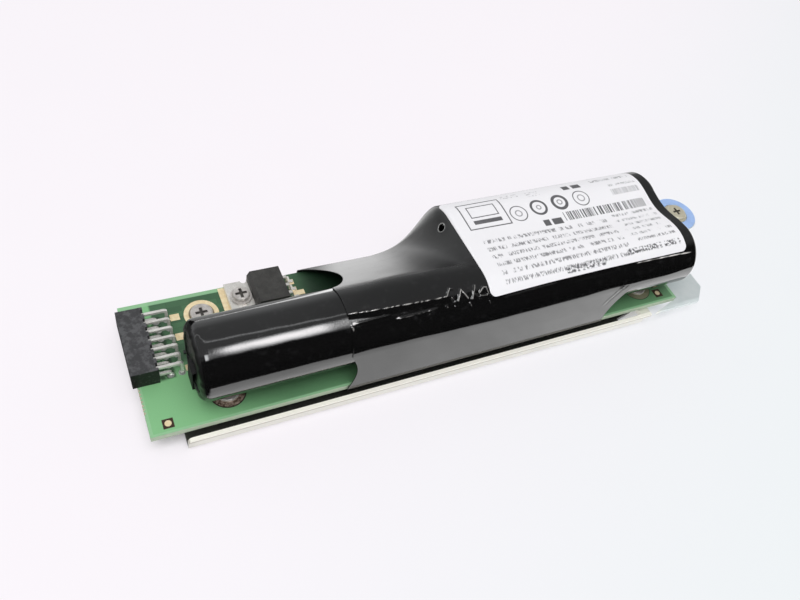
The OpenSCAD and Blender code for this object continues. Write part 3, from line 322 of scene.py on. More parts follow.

# Small creases of the sleeve: x and angle of both ends, height and the strength of the
# painted highlight along them, the catch-light of their ridges. First the zigzag in front of
# the label, then the folds below the seam, then those below the label and at the rear edge.
CREASES = (
    (69.6, 64.6, 70.9, 74.7, 1.0, 0.5), (70.9, 74.7, 71.6, 73.4, 0.8, 0.25),
    (72.4, 54.8, 73.6, 69.6, 1.0, 0.6), (73.6, 69.6, 75.1, 55.4, 1.0, 0.6),
    (76.2, 52.9, 77.6, 71.3, 1.0, 0.45), (78.3, 58.7, 79.6, 66.0, 0.8, 0.5),
    (79.6, 66.0, 80.3, 65.1, 0.8, 0.5), (80.3, 65.1, 80.8, 55.0, 0.8, 0.45),
    (78.6, 54.7, 80.4, 53.6, 0.5, 0.35), (70.9, 60.8, 71.2, 57.4, -1.6, 1.6),
    (77.0, 61.0, 78.2, 56.5, -0.8, 0.25), (69.2, 51.5, 69.4, 48.8, 0.6, 0.35),
    (71.4, 47.5, 71.6, 44.5, 0.5, 0.15), (75.4, 47.5, 75.7, 43.0, 0.6, 0.35),
    (80.8, 43.6, 80.9, 40.6, 0.5, 0.25), (45.3, 53.0, 45.7, 44.5, 0.6, 0.5),
    (46.5, 56.3, 54.5, 57.2, 0.4, 0.12), (56.8, 49.3, 66.3, 50.5, 0.8, 0.35),
    (64.9, 50.3, 64.3, 44.0, 0.6, 0.25), (84.6, 43.6, 92.0, 45.6, 0.5, 0.2),
    (92.0, 45.6, 100.0, 47.0, 0.5, 0.2), (84.8, 43.6, 84.9, 40.5, 0.4, 0.2),
    (118.4, -16.0, 122.4, 12.0, 0.7, 0.16), (119.2, -16.0, 123.2, 12.0, -0.7, 0.0),
    (100.2, 38.5, 104.0, 41.0, 0.4, 0.1), (104.0, 41.0, 120.0, 42.6, 0.4, 0.12),
    (126.5, 48.4, 134.0, 47.6, 0.4, 0.9), (134.0, 47.6, 141.0, 46.6, 0.4, 1.3),
    (141.0, 46.6, 145.0, 45.2, 0.5, 1.3), (145.0, 23.5, 145.3, 21.5, 0.4, 0.8),
)


def stroke(x, y, x0, y0, x1, y1, width):
    """A bell over the distance from the straight line between two points."""
    run, rise = x1 - x0, y1 - y0
    t = np.clip(((x - x0) * run + (y - y0) * rise) / (run ** 2 + rise ** 2), 0, 1)
    off = (x - x0 - t * run) ** 2 + (y - y0 - t * rise) ** 2
    return np.exp(-off / width ** 2)


def film_relief(s, x, angle):
    """Height of what is pressed into the sleeve and the strength of the painted highlight on
    it, the catch-light of the seam's and creases' ridges, from x and the angle on the near
    shoulder. The seam is a bell across its line, and the film falls away below it by an
    s-curve; each crease is a bell over the distance from its line; slow sines are the slack of
    the film."""
    unit = np.radians(s.sleeve_r)
    across = angle * unit
    above = across - np.interp(x, *SEAM) * unit
    beads = 0.5 + 0.5 * np.sin(2 * np.pi * x / 1.9 + 2.2 * np.sin(0.9 * x))
    on_seam = smooth(70.4, 69.6, x)
    height = s.seam_h * np.exp(-(above / 0.32) ** 2) * (0.75 + 0.25 * beads) * on_seam
    fall = smooth(0, -1.7, above) * smooth(-9, -3.5, above)
    height = height - s.seam_fall * fall * smooth(100, 78, x)
    # Painted highlight along the seam's ridge, broken into beads
    painted_highlight = np.exp(-(above / 0.14) ** 2) * (0.12 + 0.7 * beads) * on_seam
    for x0, a0, x1, a1, rise, pale in CREASES:
        line = x, across, x0, a0 * unit, x1, a1 * unit
        height = height + s.crease_h * rise * stroke(*line, 0.24)
        broken = 0.45 + 0.55 * beads if x1 - x0 > 3 else 1
        painted_highlight = np.maximum(painted_highlight, pale * broken * stroke(*line, 0.15))
    slack = 0.02 * np.sin(0.21 * x + 0.11 * angle) + 0.012 * np.sin(0.47 * x - 0.16 * angle)
    return height + slack * smooth(5, 25, angle) * smooth(175, 150, angle), painted_highlight


def sleeve_grid(s, stations, around, wall):
    """The sleeve's wall on a grid of ring places and stations; the station v runs from 0 at
    the front edge over 1 at the top of the flare and 2 near the rear to 3 at the rear edge.
    The front edge draws back between board and cell, the rear edge slants."""
    v, u = np.meshgrid(stations, around, indexing="ij")
    k = np.minimum(np.floor(u), 7).astype(int)
    t = u - k
    bow = np.where(k == 1, s.near_bow * np.sin(np.pi * t), 0)
    bow = np.where(k == 3, s.arch_bow * np.sin(np.pi * np.clip(t, 0, 1)) ** 0.6, bow)
    front = s.sleeve_x + bow
    low, high = s.sleeve_x + s.low_l, s.high_x
    mid = low + s.slant
    rear = np.select(
        [k == 1, k == 5, k == 2, k == 4, k == 3],
        [lerp(low, mid, t ** 2), lerp(low, mid, (1 - t) ** 2),
         lerp(mid, high, np.clip(6 * t, 0, 1)), lerp(mid, high, np.clip(4 * (1 - t), 0, 1)),
         high], low)
    full, plain = s.shoulder + 0.3, low - 10
    x = np.where(v < 1, lerp(front, full, v), np.where(
        v < 2, lerp(full, plain, v - 1), lerp(plain, rear, v - 2)))
    base = sleeve_ring(s, x, u, 0 * x)
    shoulder = (u > 1) & (u < 4)
    height, painted_highlight = film_relief(s, x, shoulder_angle(s, base))
    return sleeve_ring(s, x, u, shoulder * height - wall), shoulder * painted_highlight


def sleeve_lines():
    """Stations and ring places, closest where the film carries its small creases."""
    flare = np.concatenate([[0, 0.002, 0.006], np.linspace(0.012, 0.66, 50)[:-1],
                            np.linspace(0.66, 1.0, 86)])
    stations = np.concatenate([flare, 1 + np.linspace(0, 1, 26)[1:],
                               2 + np.linspace(0, 1, 34)[1:-1], [2.997, 3]])
    steps = [8, 12, 104, 22, 30, 8, 8, 4]
    around = np.concatenate([k + np.arange(n) / n for k, n in enumerate(steps)])
    return stations, around


def tube_profile(s, front, rear, front_edge, rear_edge, front_lip, rear_lip):
    """Profile of a shrunk tube: x, radius, and the outward direction in both. It runs out
    of the front opening over a rolled bead, a flat lip and a round edge, along the body,
    and back over the rear edge and lip."""

    def bend(x, r, radius, turn, way):
        out_x, out_r = -way * np.cos(turn), np.sin(turn)
        return x + radius * out_x, r + radius * out_r, out_x, out_r

    r, bead, quarter = s.wrap_r, 0.4, np.linspace(0, np.pi / 2, 13)
    start, stop, end = front + front_edge, rear - rear_edge, np.ones(1)
    x = np.concatenate([np.linspace(start, s.sleeve_x, 70)[1:],
                        np.linspace(max(s.sleeve_x, start), stop, 8)[1:-1]])
    x = x[x > start]
    run = [
        bend(front + bead, r - front_lip + bead, bead, np.linspace(-np.pi / 2, 0, 7), 1),
        bend(start, r - front_edge, front_edge, quarter, 1),
        (x, r + 0 * x, 0 * x, 1 + 0 * x),
        bend(stop, r - rear_edge, rear_edge, quarter[::-1], -1),
        (rear * end, (r - rear_lip) * end, end, 0 * end),
    ]
    return [np.concatenate(column) for column in zip(*run)]


def turned(s, x, y, r, turn):
    """Points at x and the distance r from the line at y and the cells' height, turned round
    that line."""
    return stacked(x, y - r * np.cos(turn), s.cell_z - r * np.sin(turn))


def tube_grid(s, y, *profile):
    """A shrunk tube round the line at y and the cells' height: the profile turned round
    that line, with radial folds on its ends that fade out over the edge, and slow waves
    along the body. The wall lies inside."""
    x, r, out_x, out_r = [column[:, None] for column in tube_profile(s, *profile)]
    turn = np.linspace(0, 2 * np.pi, 161)[None, :-1]
    ends = smooth(s.wrap_r - 0.1, s.wrap_r - 1.6, r)
    folds = np.sin(17 * turn + 1.3 * np.sin(3 * turn)) + 0.6 * np.sin(29 * turn + 2)
    nicks = np.sin(41 * turn + 2 * np.sin(5 * turn)) * smooth(6, 0.5, x - profile[0])
    waves = np.sin(0.31 * x + 3 * turn) + np.sin(0.83 * x - 5 * turn + 1)
    height = 0.055 * ends * folds + 0.012 * nicks * (1 - ends) + 0.005 * waves - 0.02

    def wall(inset):
        out = height - inset
        return turned(s, x + out_x * out, y, r + out_r * out, turn)

    return closed_walls(wall(0.0), wall(s.wrap_t))


def cover_grid(s, front):
    """The dished cover in the wrap's front opening: depth is a shallow bowl of the radius
    with two ring folds and radial folds that grow outwards; the back is the same bowl, set
    in by the paper's thickness, and both meet at the rim."""
    r = np.concatenate([[0], np.linspace(0.4, s.wrap_r - s.wrap_lip + 0.25, 22)])[:, None]
    turn = np.linspace(0, 2 * np.pi, 97)[None, :-1]
    share = r / r.max()
    folds = np.sin(13 * turn + 1.7 * np.sin(2 * turn) + 4 * share)
    rings = np.exp(-((share - 0.86) / 0.05) ** 2) + 0.7 * np.exp(-((share - 0.62) / 0.06) ** 2)
    depth = 0.75 - 0.35 * share ** 3 + 0.07 * share ** 2 * folds - 0.12 * rings

    def wall(inset):
        return turned(s, front + depth + inset, s.near_y, r, turn)

    paper_t = 0.15
    return closed_walls(wall(paper_t)[:, ::-1], wall(0.0)[:, ::-1])


def web_grid(s):
    """The film between the wrapped rear cells: a rounded upright loop in x and z carried
    from one cell's axis to the other, pinched shut inside each."""
    half = s.wrap_r - s.groove
    corner, count = 0.9, 40
    a = np.linspace(0, 2 * np.pi, count + 1)[:-1]
    front, rear = s.shoulder + 1.0, s.wrap_rear - 0.9
    mid = (front + rear) / 2
    x = mid + np.sign(np.cos(a)) * ((rear - front) / 2 - corner) + corner * np.cos(a)
    z = s.cell_z + np.sign(np.sin(a)) * (half - corner) + corner * np.sin(a)
    y = np.array([s.near_y, s.near_y, s.far_y, s.far_y])[:, None]
    open_up = np.array([0, 1, 1, 0])[:, None]
    grid = stacked(mid + (x - mid) * open_up, y, s.cell_z + (z - s.cell_z) * open_up)
    return grid, quads(len(y), count, False, True)[:, ::-1]


# Angles from upright of the label's long edges, in degrees: the near one at four places along
# x, and the far one
LABEL_NEAR = ((82, 98, 116, 143), (41.6, 39.2, 38.8, 40.2))
LABEL_FAR = 36
# Share of the label's columns that lies on each cell; how many rows the label has between
# its rounded ends, both limits counted, and how many columns
LABEL_SIDE = 0.35
LABEL_ROWS, LABEL_COLUMNS = 90, 121


def label_grid(s, label, grow):
    """A wall of the label on its grid, and the place of each point over the flat label: x
    along it and the length of film across it. Across, it follows the near cell, the valley
    and the far cell; its corners are quarter circles."""
    ends = 1 - np.cos(np.linspace(0, np.pi / 2, 9))
    near_end = label.corner_r * ends
    middle = np.linspace(label.corner_r, label.long - label.corner_r, LABEL_ROWS)[1:-1]
    d = np.concatenate([near_end, middle, label.long - near_end[::-1]])
    d, w = np.meshgrid(d, np.linspace(0, 1, LABEL_COLUMNS), indexing="ij")
    off = np.minimum(d, label.long - d)
    inside = np.maximum(label.corner_r - off, 0)
    corner = label.corner_r - np.sqrt(np.maximum(label.corner_r ** 2 - inside ** 2, 0))
    x = s.shoulder - label.early + label.shift + d
    turn = np.degrees(corner / s.sleeve_r)
    near_drop = np.interp(x, *LABEL_NEAR) - turn
    far_drop = LABEL_FAR - turn
    near_wall, top, far_wall = sleeve_rounds(s, x)[1][1:4]
    first = 2 + (np.radians(90 + near_drop) - near_wall) / (top - near_wall)
    last = 4 + (np.radians(90 - far_drop) - top) / (far_wall - top)
    side, far_side = LABEL_SIDE, 1 - LABEL_SIDE
    u = np.select([w < side, w < far_side],
                  [lerp(first, 3, w / side), 3 + (w - side) / (far_side - side)],
                  lerp(4, last, (w - far_side) / side))
    points = sleeve_ring(s, x, u, grow + 0 * x)
    run = np.linalg.norm(np.diff(points[:, :, 1:], axis=1), axis=-1)
    across = np.concatenate([np.zeros((len(run), 1)), np.cumsum(run, 1)], 1)
    across -= across[:, [LABEL_COLUMNS // 2]]
    return points, np.stack([x, across], -1)


# ---- materials


def math_method(operation, flip=False):
    """A method that makes a Math node of its two values, the other one first if flipped."""

    def method(self, other):
        pair = (other, self) if flip else (self, other)
        return self.recipe.math(operation, *pair)

    return method


class Field:
    """A value in a material that varies over the surface, with Python's operators."""

    def __init__(self, recipe, socket):
        self.recipe, self.socket = recipe, socket

    __add__ = __radd__ = math_method("ADD")
    __mul__ = __rmul__ = math_method("MULTIPLY")
    __sub__, __rsub__ = math_method("SUBTRACT"), math_method("SUBTRACT", flip=True)
    __gt__, __lt__ = math_method("GREATER_THAN"), math_method("LESS_THAN")


class Recipe:
    """A material or world put together from nodes."""

    def __init__(self, owner):
        owner.use_nodes = True
        self.owner, self.tree = owner, owner.node_tree
        self.tree.nodes.clear()

    def add(self, kind, inputs=(), output=0, **settings):
        """A node of that type: its settings, then the values or links of its sockets."""
        node = self.tree.nodes.new(kind)
        for key, value in settings.items():
            setattr(node, key, value)
        pairs = inputs.items() if isinstance(inputs, dict) else enumerate(inputs)
        for key, value in pairs:
            if isinstance(value, Field):
                self.tree.links.new(value.socket, node.inputs[key])
            else:
                node.inputs[key].default_value = value
        return None if output is None else Field(self, node.outputs[output])

    def math(self, operation, *values):
        """A Math node."""
        return self.add("ShaderNodeMath", values, operation=operation)

    def place(self):
        """Object coordinates in millimetres from the board's datum."""
        spot = self.add("ShaderNodeTexCoord", output="Object")
        return self.add("ShaderNodeMapping", {
            "Vector": spot, "Location": tuple(-DATUM / MM), "Scale": (1 / MM,) * 3})

    def parts(self, vector):
        """The three coordinates of a vector."""
        node = self.add("ShaderNodeSeparateXYZ", (vector,)).socket.node
        return [Field(self, socket) for socket in node.outputs]

    def stretched(self, vector, scale):
        """A vector with each coordinate multiplied."""
        return self.add("ShaderNodeVectorMath", (vector, scale), operation="MULTIPLY")

    def noise(self, vector, scale, detail=2.0, roughness=0.5):
        """Noise of about 0.5, with a grain of 1/scale millimetres."""
        return self.add("ShaderNodeTexNoise", {
            "Vector": vector, "Scale": scale, "Detail": detail, "Roughness": roughness})

    def ramp(self, value, low, high):
        """0 below low, 1 above high and an s-curve between."""
        return self.add("ShaderNodeMapRange", (value, low, high, 0.0, 1.0),
                        interpolation_type="SMOOTHSTEP")

    def fall(self, value, low, high):
        """1 below low, 0 above high and an s-curve between."""
        return self.ramp(value, high, low)

    def band(self, value, low, high, soft):
        """1 between low and high, 0 outside."""
        return self.ramp(value, low - soft, low + soft) * self.fall(
            value, high - soft, high + soft)

    def patch(self, x, y, x0, x1, y0, y1, soft=0.06):
        """1 inside a rectangle."""
        return self.band(x, x0, x1, soft) * self.band(y, y0, y1, soft)

    def away(self, spot, point):
        """Distance from a point."""
        return self.add("ShaderNodeVectorMath", (spot, point), "Value", operation="DISTANCE")

    def seen_from_above(self, spot):
        """A place with its height taken away, for distances in the plane."""
        return self.stretched(spot, (1.0, 1.0, 0.0))

    def mix(self, factor, first, second):
        """A colour between two colours."""
        sockets = {0: factor, 6: rgba(first), 7: rgba(second)}
        return self.add("ShaderNodeMix", sockets, 2, data_type="RGBA")

    def coats(self, shade, *coats):
        """A colour with others laid over it in turn, each given by its factor and colour."""
        for factor, coat in coats:
            shade = self.mix(factor, shade, coat)
        return shade

    def bump(self, height, depth, normal=None):
        """A bumped normal from a height of 0 to 1 and its depth in millimetres."""
        sockets = {"Strength": 1.0, "Distance": depth * MM, "Height": height}
        if normal is not None:
            sockets["Normal"] = normal
        return self.add("ShaderNodeBump", sockets)

    def surface(self, shade, **sockets):
        """The shader itself, of a base colour and its other sockets."""
        shader = self.add("ShaderNodeBsdfPrincipled", {"Base Color": rgba(shade), **sockets})
        self.add("ShaderNodeOutputMaterial", (shader,), None)
        return self.owner


def rgba(value):
    """A colour as a socket takes it."""
    return value if isinstance(value, Field) else (*value, 1.0)


def recipe(name):
    """A new material's recipe, with the coordinates that nearly every one uses."""
    made = Recipe(bpy.data.materials.new(name))
    return made, made.place()


# Refractive index of both films
FILM_IOR = 1.75
# Middle of the vent hole in the sleeve, and the nick on its rim
VENT, NICK = (79.75, 28.1, 16.55), (80.3, 28.3, 17.3)
# Three of the board screws, seen from above, and the radius of a screw's cross recess
NEAR_SCREW, FAR_SCREW, REAR_SCREW = (18.3, 6.4, 0.0), (18.3, 29.3, 0.0), (137.3, 6.4, 0.0)
RECESS_R = 1.45

# The label's print, in millimetres along and across the flat label. Blocks are rectangles:
# both ends, then both sides
BLOCKS = ((106.4, 108.4, 0.7, 2.7), (109.2, 112.4, 0.7, 2.7), (118.4, 120.6, 11.4, 13.2),
          (121.6, 124.4, 11.4, 13.2), (86.8, 95.2, 5.0, 6.3))
# Outlines: a rectangle and the width of its line
OUTLINES = ((84.6, 97.4, 3.4, 12.8, 0.35), (86.8, 95.2, 7.2, 11.2, 0.3))
# Rows of dashes: a rectangle, its count of rows, the share of a row that is print, the
# lengths of a word and of a dash, and how dark they are
DASHES = (
    (86.0, 125.5, -14.9, 0.2, 6, 0.46, 2.6, 0.42, 0.8),
    (128.0, 142.4, -11.4, 1.0, 6, 0.42, 2.2, 0.40, 0.75),
    (104.0, 116.5, -15.4, -13.0, 1, 0.8, 9.0, 0.8, 1.0),
    (124.0, 142.4, -14.3, -12.3, 1, 0.8, 5.0, 0.7, 1.0),
    (98.5, 104.0, 12.0, 14.0, 2, 0.5, 2.0, 0.5, 0.5),
    (106.5, 110.5, 11.0, 13.5, 3, 0.5, 1.2, 0.5, 0.5),
    (128.5, 142.0, 12.4, 14.0, 1, 0.7, 2.5, 0.6, 0.7),
    (133.0, 142.4, 9.6, 10.6, 1, 0.8, 2.0, 0.5, 0.6),
)
# Bars of uneven width: a rectangle, the length of their noise, and how dark they are
BARS = ((113.6, 142.4, 1.3, 4.1, 0.42, 1.0), (132.5, 142.4, 6.6, 8.6, 0.3, 0.6))
# Rings: their middle, the width of the outer ring and the radius of the core's
RINGS = ((100.7, 6.2, 0.3, 1.1), (107.5, 7.0, 0.7, 0.8), (114.6, 7.5, 0.9, 0.9),
         (121.9, 7.6, 0.3, 1.2))
RING_R = 2.6


def film_base(name, colours):
    """Black shrink film: dark and glossy, with faint rubbed clouds and specks of dust. Its
    recipe, place, colour, roughness and a finely bumped normal."""
    r, spot = recipe(name)
    peel = r.noise(r.stretched(spot, (1.0, 1.3, 1.3)), 2.4, 3.0)
    waves = r.noise(r.stretched(spot, (0.3, 1.0, 1.0)), 0.30, 2.0)
    rub = r.ramp(r.noise(spot, 0.5, 5.0, 0.65), 0.55, 0.75)
    dust = r.ramp(r.noise(spot, 9.0, 1.0), 0.71, 0.78) * 0.2
    shade = r.mix(rub * 0.35 + dust, colours.film, (0.035, 0.035, 0.036))
    rough = 0.06 + rub * 0.05 + peel * 0.03 + dust * 0.4
    return r, spot, shade, rough, r.bump(waves, 0.03, r.bump(peel, 0.004))


def wrap_material(colours):
    """The film of the inner wrap, duller where it is shrunk over the front end."""
    r, spot, shade, rough, bumped = film_base("wrap_film", colours)
    front = board_box("cell_wrap")[0][0]
    end = r.fall(r.parts(spot)[0], front + 0.5, front + 1.2)
    return r.surface(shade, Roughness=rough + end * 0.35, IOR=FILM_IOR, Normal=bumped)


def sleeve_material(colours):
    """The film of the sleeve, with painted highlights along its seam and creases, the
    catch-light of their ridges, and duller on the flare, with the punched vent hole, painted
    near black as its shaded inside, the hole's torn rim and a bright nick on it."""
    r, spot, shade, rough, bumped = film_base("sleeve_film", colours)
    x, y, _ = r.parts(spot)
    painted_highlight = r.add("ShaderNodeAttribute", output="Fac", attribute_name="painted_highlight")
    vent = r.away(spot, VENT)
    rim = r.band(vent, 1.0, 1.3, 0.14)
    # The hole is painted near black and dull: painted shade of the inside seen through it
    hole = r.fall(vent, 0.95, 1.1)
    # Pale along the seam and creases: the painted highlight of their ridges
    shade = r.coats(shade, (r.ramp(painted_highlight, 0.08, 1.0), (0.74, 0.71, 0.68)),
                    (rim * 0.42, (0.5, 0.5, 0.48)), (hole, (0.001, 0.001, 0.001)),
                    (r.fall(r.away(spot, NICK), 0.25, 0.45), (0.8, 0.8, 0.78)))
    flare = r.ramp(y, 11.5, 16.0) * r.fall(x, 80.0, 86.0)
    return r.surface(shade, Metallic=hole, Roughness=rough + hole * 0.8 + flare * 0.32,
                     IOR=FILM_IOR, Normal=r.bump(rim - hole, 0.2, bumped))


def label_print(r, flat):
    """How dark the print is over the flat label: the darkest of its shapes. Rows of dashes
    are bands across the rows, times coarse noise along them for the words and fine noise
    for the dashes; bars are noise along the label alone."""
    u, v, _ = r.parts(flat)

    def grain(detail, *place):
        return r.noise(r.add("ShaderNodeCombineXYZ", place), 1.0, detail)

    shapes = [r.patch(u, v, *block) for block in BLOCKS]
    for u0, u1, v0, v1, width in OUTLINES:
        hollow = r.patch(u, v, u0 + width, u1 - width, v0 + width, v1 - width)
        shapes.append(r.patch(u, v, u0, u1, v0, v1) - hollow)
    for u0, u1, v0, v1, count, share, word, dash, ink in DASHES:
        row = (v - v0) * (count / (v1 - v0))
        number = r.math("FLOOR", row) * 7.3
        line = r.band(r.math("FRACT", row), 0.5 - share / 2, 0.5 + share / 2, 0.1)
        words = r.ramp(grain(1.0, u * (1 / word), number, 0.0), 0.38, 0.41)
        tall = v * (1 / dash / count ** 0.5)
        dashes = r.ramp(grain(1.0, u * (1 / dash), tall, number), 0.40, 0.62)
        shapes.append(line * words * dashes * r.patch(u, v, u0, u1, v0, v1) * ink)
    for u0, u1, v0, v1, width, ink in BARS:
        bars = r.ramp(grain(0.0, u * (1 / width), 3.1, 0.0), 0.47, 0.53)
        shapes.append(bars * r.patch(u, v, u0, u1, v0, v1) * ink)
    for middle_u, middle_v, width, core in RINGS:
        far = r.away(flat, (middle_u, middle_v, 0.0))
        shapes += [r.band(far, RING_R - width, RING_R, 0.06),
                   r.band(far, core - 0.35, core, 0.08) * 0.7]
    darkest = shapes[0]
    for shape in shapes[1:]:
        darkest = r.math("MAXIMUM", darkest, shape)
    return darkest


def label_material(colours):
    """White label film with plain printed shapes, faint stains and slow waves."""
    r, spot = recipe("label_film")
    ink = label_print(r, r.add("ShaderNodeUVMap", uv_map="surface"))
    mottle = r.noise(spot, 3.0, 3.0)
    stain = r.ramp(r.noise(spot, 0.12, 3.0), 0.5, 0.8) * 0.08
    shade = r.coats(colours.label, (ink * (0.84 + mottle * 0.12), colours.print_ink),
                    (stain, (0.62, 0.62, 0.66)))
    waves = r.noise(r.stretched(spot, (0.4, 1.0, 1.0)), 0.35, 2.0)
    bumped = r.bump(waves, 0.05, r.bump(r.noise(spot, 3.0, 2.0), 0.004))
    return r.surface(shade, Roughness=0.38 + mottle * 0.1, IOR=1.45, Normal=bumped)


def board_material(colours):
    """Circuit board: pale green at the near side, darkening towards the cells as painted
    shade, and round its border; dark mask over the copper at the far side, and darker still
    towards the rear as painted shade under the sleeve's arch, where the border is painted out
    too; a painted shadow behind the contacts, faint tracks, and the small printed marks of its
    top: a square under each alignment dot, and a strip and bracket by the regulator; and a
    dark ring of painted shade round the near rear screw's land. Its edges show the fibre, tan
    along a stretch of the front."""
    r, spot = recipe("solder_mask")
    x, y, z = r.parts(spot)
    top = z > -0.05
    tracks = r.add("ShaderNodeTexBrick", {
        "Vector": spot, "Color1": (0, 0, 0, 1), "Color2": (1, 1, 1, 1), "Mortar": (0, 0, 0, 1),
        "Scale": 0.35, "Mortar Size": 0.02, "Brick Width": 1.9, "Row Height": 0.55},
        offset=0.37, squash=1.6)
    grain = r.noise(spot, 4.0, 4.0)
    cloud = r.noise(spot, 0.25, 3.0)
    # Pale laminate, darkening towards the cells: painted shade under them
    pale = r.coats(colours.laminate, (r.ramp(x, 10.0, 34.0) * 0.74, colours.mask),
                   (grain * 0.3, tuple(1.4 * c for c in colours.laminate)))
    # Darker still from x 41 to 48: painted shade under the sleeve's arch
    dark = r.coats(colours.mask, (tracks * 0.35 + grain * 0.2, (0.10, 0.23, 0.11)),
                   (r.ramp(x, 41.0, 48.0) * 0.85, (0.008, 0.018, 0.011)))
    copper = r.ramp(y + cloud * 3.0, 15.0, 20.0) * r.ramp(x, 6.6, 7.2)
    border = 1 - r.patch(x, y, 0.7, BOARD_L - 0.9, 0.6, BOARD_W - 1.1, 0.1)
    # The pale border is painted out at the far side from x 34: painted shade under the arch
    border = border * (1 - r.ramp(x, 34.0, 38.0) * (y > 30.0))
    # A painted shadow among the contact pins, broken up by noise
    pin_shadow = r.patch(x, y, 1.9, 8.6, 13.4, 31.2, 0.35) * r.ramp(
        r.noise(spot, 0.9, 3.0), 0.3, 0.55)
    squares = r.patch(x, y, 3.0, 5.4, 1.2, 3.6) + r.patch(
        x, y, BOARD_L - 6.3, BOARD_L - 3.7, 1.5, 4.2)
    strip = r.patch(x, y, 41.6, 42.2, 30.9, 35.4) + r.patch(x, y, 42.0, 42.9, 33.2, 33.8)
    # A dark ring of painted shade round the near rear screw's land
    line = r.band(r.away(r.seen_from_above(spot), REAR_SCREW), 3.9, 4.35, 0.1)
    shade = r.coats(r.mix(copper, pale, dark), (border * 0.85, (0.30, 0.55, 0.31)),
                    (pin_shadow * 0.8, (0.016, 0.035, 0.02)), (squares, (0.045, 0.022, 0.014)),
                    (strip, (0.72, 0.72, 0.66)), (line, (0.02, 0.03, 0.02)))
    fibre = r.noise(r.stretched(spot, (0.6, 0.6, 7.0)), 1.6, 4.0)
    tan = r.band(y, 5.8, 12.6, 0.3) * (x < 0.9)
    edge = r.coats((0.34, 0.46, 0.31), (fibre, (0.60, 0.66, 0.52)),
                   (tan * 0.7, (0.66, 0.56, 0.40)))
    return r.surface(r.mix(top, edge, shade), IOR=1.45,
                     Roughness=0.36 + grain * 0.12 + (1 - top) * 0.3,
                     Normal=r.bump(tracks * 0.4 + grain * 0.3, 0.02))


def speckle(r, spot, coarse, fine, share=0.4, spread=0.2):
    """A mask of cloudy spots, from coarse noise with a share of fine noise, and the fine
    noise itself."""
    grain = r.noise(spot, fine, 3.0, 0.6)
    cloud = r.noise(spot, coarse, 4.0, 0.6)
    mask = r.ramp(cloud * (1 - share) + grain * share, 0.5 - spread, 0.5 + spread)
    return mask, grain


def metal_material(name, bright, dark, rough, depth=0.01, metallic=0.6):
    """A metal finish: two shades of it in cloudy spots, and a roughness that follows the
    grain."""
    r, spot = recipe(name)
    mask, grain = speckle(r, spot, 0.42, 3.6)
    return r.surface(r.mix(mask, dark, bright), Metallic=metallic,
                     Roughness=rough - 0.06 + grain * 0.12, Normal=r.bump(grain, depth))


def screw_material():
    """Plated screws and washers: satin steel, yellower behind the board, and painted dark
    inside the cross recesses as their shade."""
    r, spot = recipe("plated_steel")
    x, _, z = r.parts(spot)
    plan = r.seen_from_above(spot)
    mask, fine = speckle(r, spot, 0.8, 4.0)
    # Painted shade inside the cross recesses
    recess = 0.0
    for node in ("board_screws", "regulator_screw", "fixing_screw"):
        for cx, cy, cz in screw_tops(node):
            inside = r.fall(r.away(plan, (cx, cy, 0.0)), RECESS_R, RECESS_R + 0.1)
            below = r.fall(z, cz - 0.14, cz - 0.05) * (z > cz - 0.6)
            recess = inside * below + recess
    shade = r.coats((0.50, 0.47, 0.44), (mask, (0.76, 0.72, 0.69)),
                    (r.ramp(x, 160.0, 162.0) * 0.7, (0.74, 0.68, 0.48)),
                    (recess * 0.92, (0.05, 0.045, 0.04)))
    return r.surface(shade, Metallic=0.45, Roughness=0.30 + fine * 0.12,
                     Normal=r.bump(fine, 0.008))


def screw_tops(node):
    """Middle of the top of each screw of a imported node, in board millimetres: its points
    near the top, gathered by the quarter of the board that they lie in."""
    mesh = frame["nodes"][node].data
    points = np.empty(len(mesh.vertices) * 3, np.float32)
    mesh.vertices.foreach_get("co", points)
    points = (points.reshape(-1, 3) - DATUM) / MM
    points = points[points[:, 2] > points[:, 2].max() - 0.01]
    halves = [points[:, k] > points[:, k].mean() for k in (0, 1)]
    spread = [np.ptp(points[:, k]) > 8 for k in (0, 1)]
    which = halves[0] * spread[0] * 2 + halves[1] * spread[1]
    groups = [points[which == k] for k in np.unique(which)]
    return [tuple(float(c) for c in (g.min(0) + g.max(0)) / 2) for g in groups]


def land_material():
    """Plated lands: soft gold. The one round the near front screw is painted in brown spots
    and nearly black at its rim, as painted shade under the near cell; the far one has a thin
    dark line, painted shade under the screw head's edge; and the near rear one is a dull
    green, painted shade under the cell."""
    r, spot = recipe("gold_plate")
    plan = r.seen_from_above(spot)
    cloud = r.noise(spot, 0.8, 4.0, 0.6)
    near = r.away(plan, NEAR_SCREW)
    # Brown spots and a near black rim: painted shade of the near cell over the front land
    spots = r.ramp(r.noise(spot, 1.6, 4.0, 0.7), 0.38, 0.62)
    shaded_gold = r.mix(spots, (0.10, 0.06, 0.04), (0.52, 0.40, 0.32))
    # A thin dark line: painted shade under the far screw head's edge
    line = r.band(r.away(plan, FAR_SCREW), 2.5, 3.05, 0.1)
    shade = r.coats((0.86, 0.68, 0.40), (r.ramp(cloud, 0.35, 0.65), (0.97, 0.82, 0.54)),
                    (r.band(near, 2.7, 6.0, 0.1), shaded_gold),
                    (r.band(near, 3.9, 6.0, 0.08) * 0.9, (0.03, 0.025, 0.02)),
                    (line * 0.8, (0.06, 0.05, 0.04)),
                    # Dull green: painted shade under the cell on the near rear land
                    (r.fall(r.away(plan, REAR_SCREW), 5.0, 5.2) * 0.85, (0.16, 0.19, 0.12)))
    return r.surface(shade, Metallic=0.2, Roughness=0.36 + cloud * 0.1,
                     Normal=r.bump(cloud, 0.01))


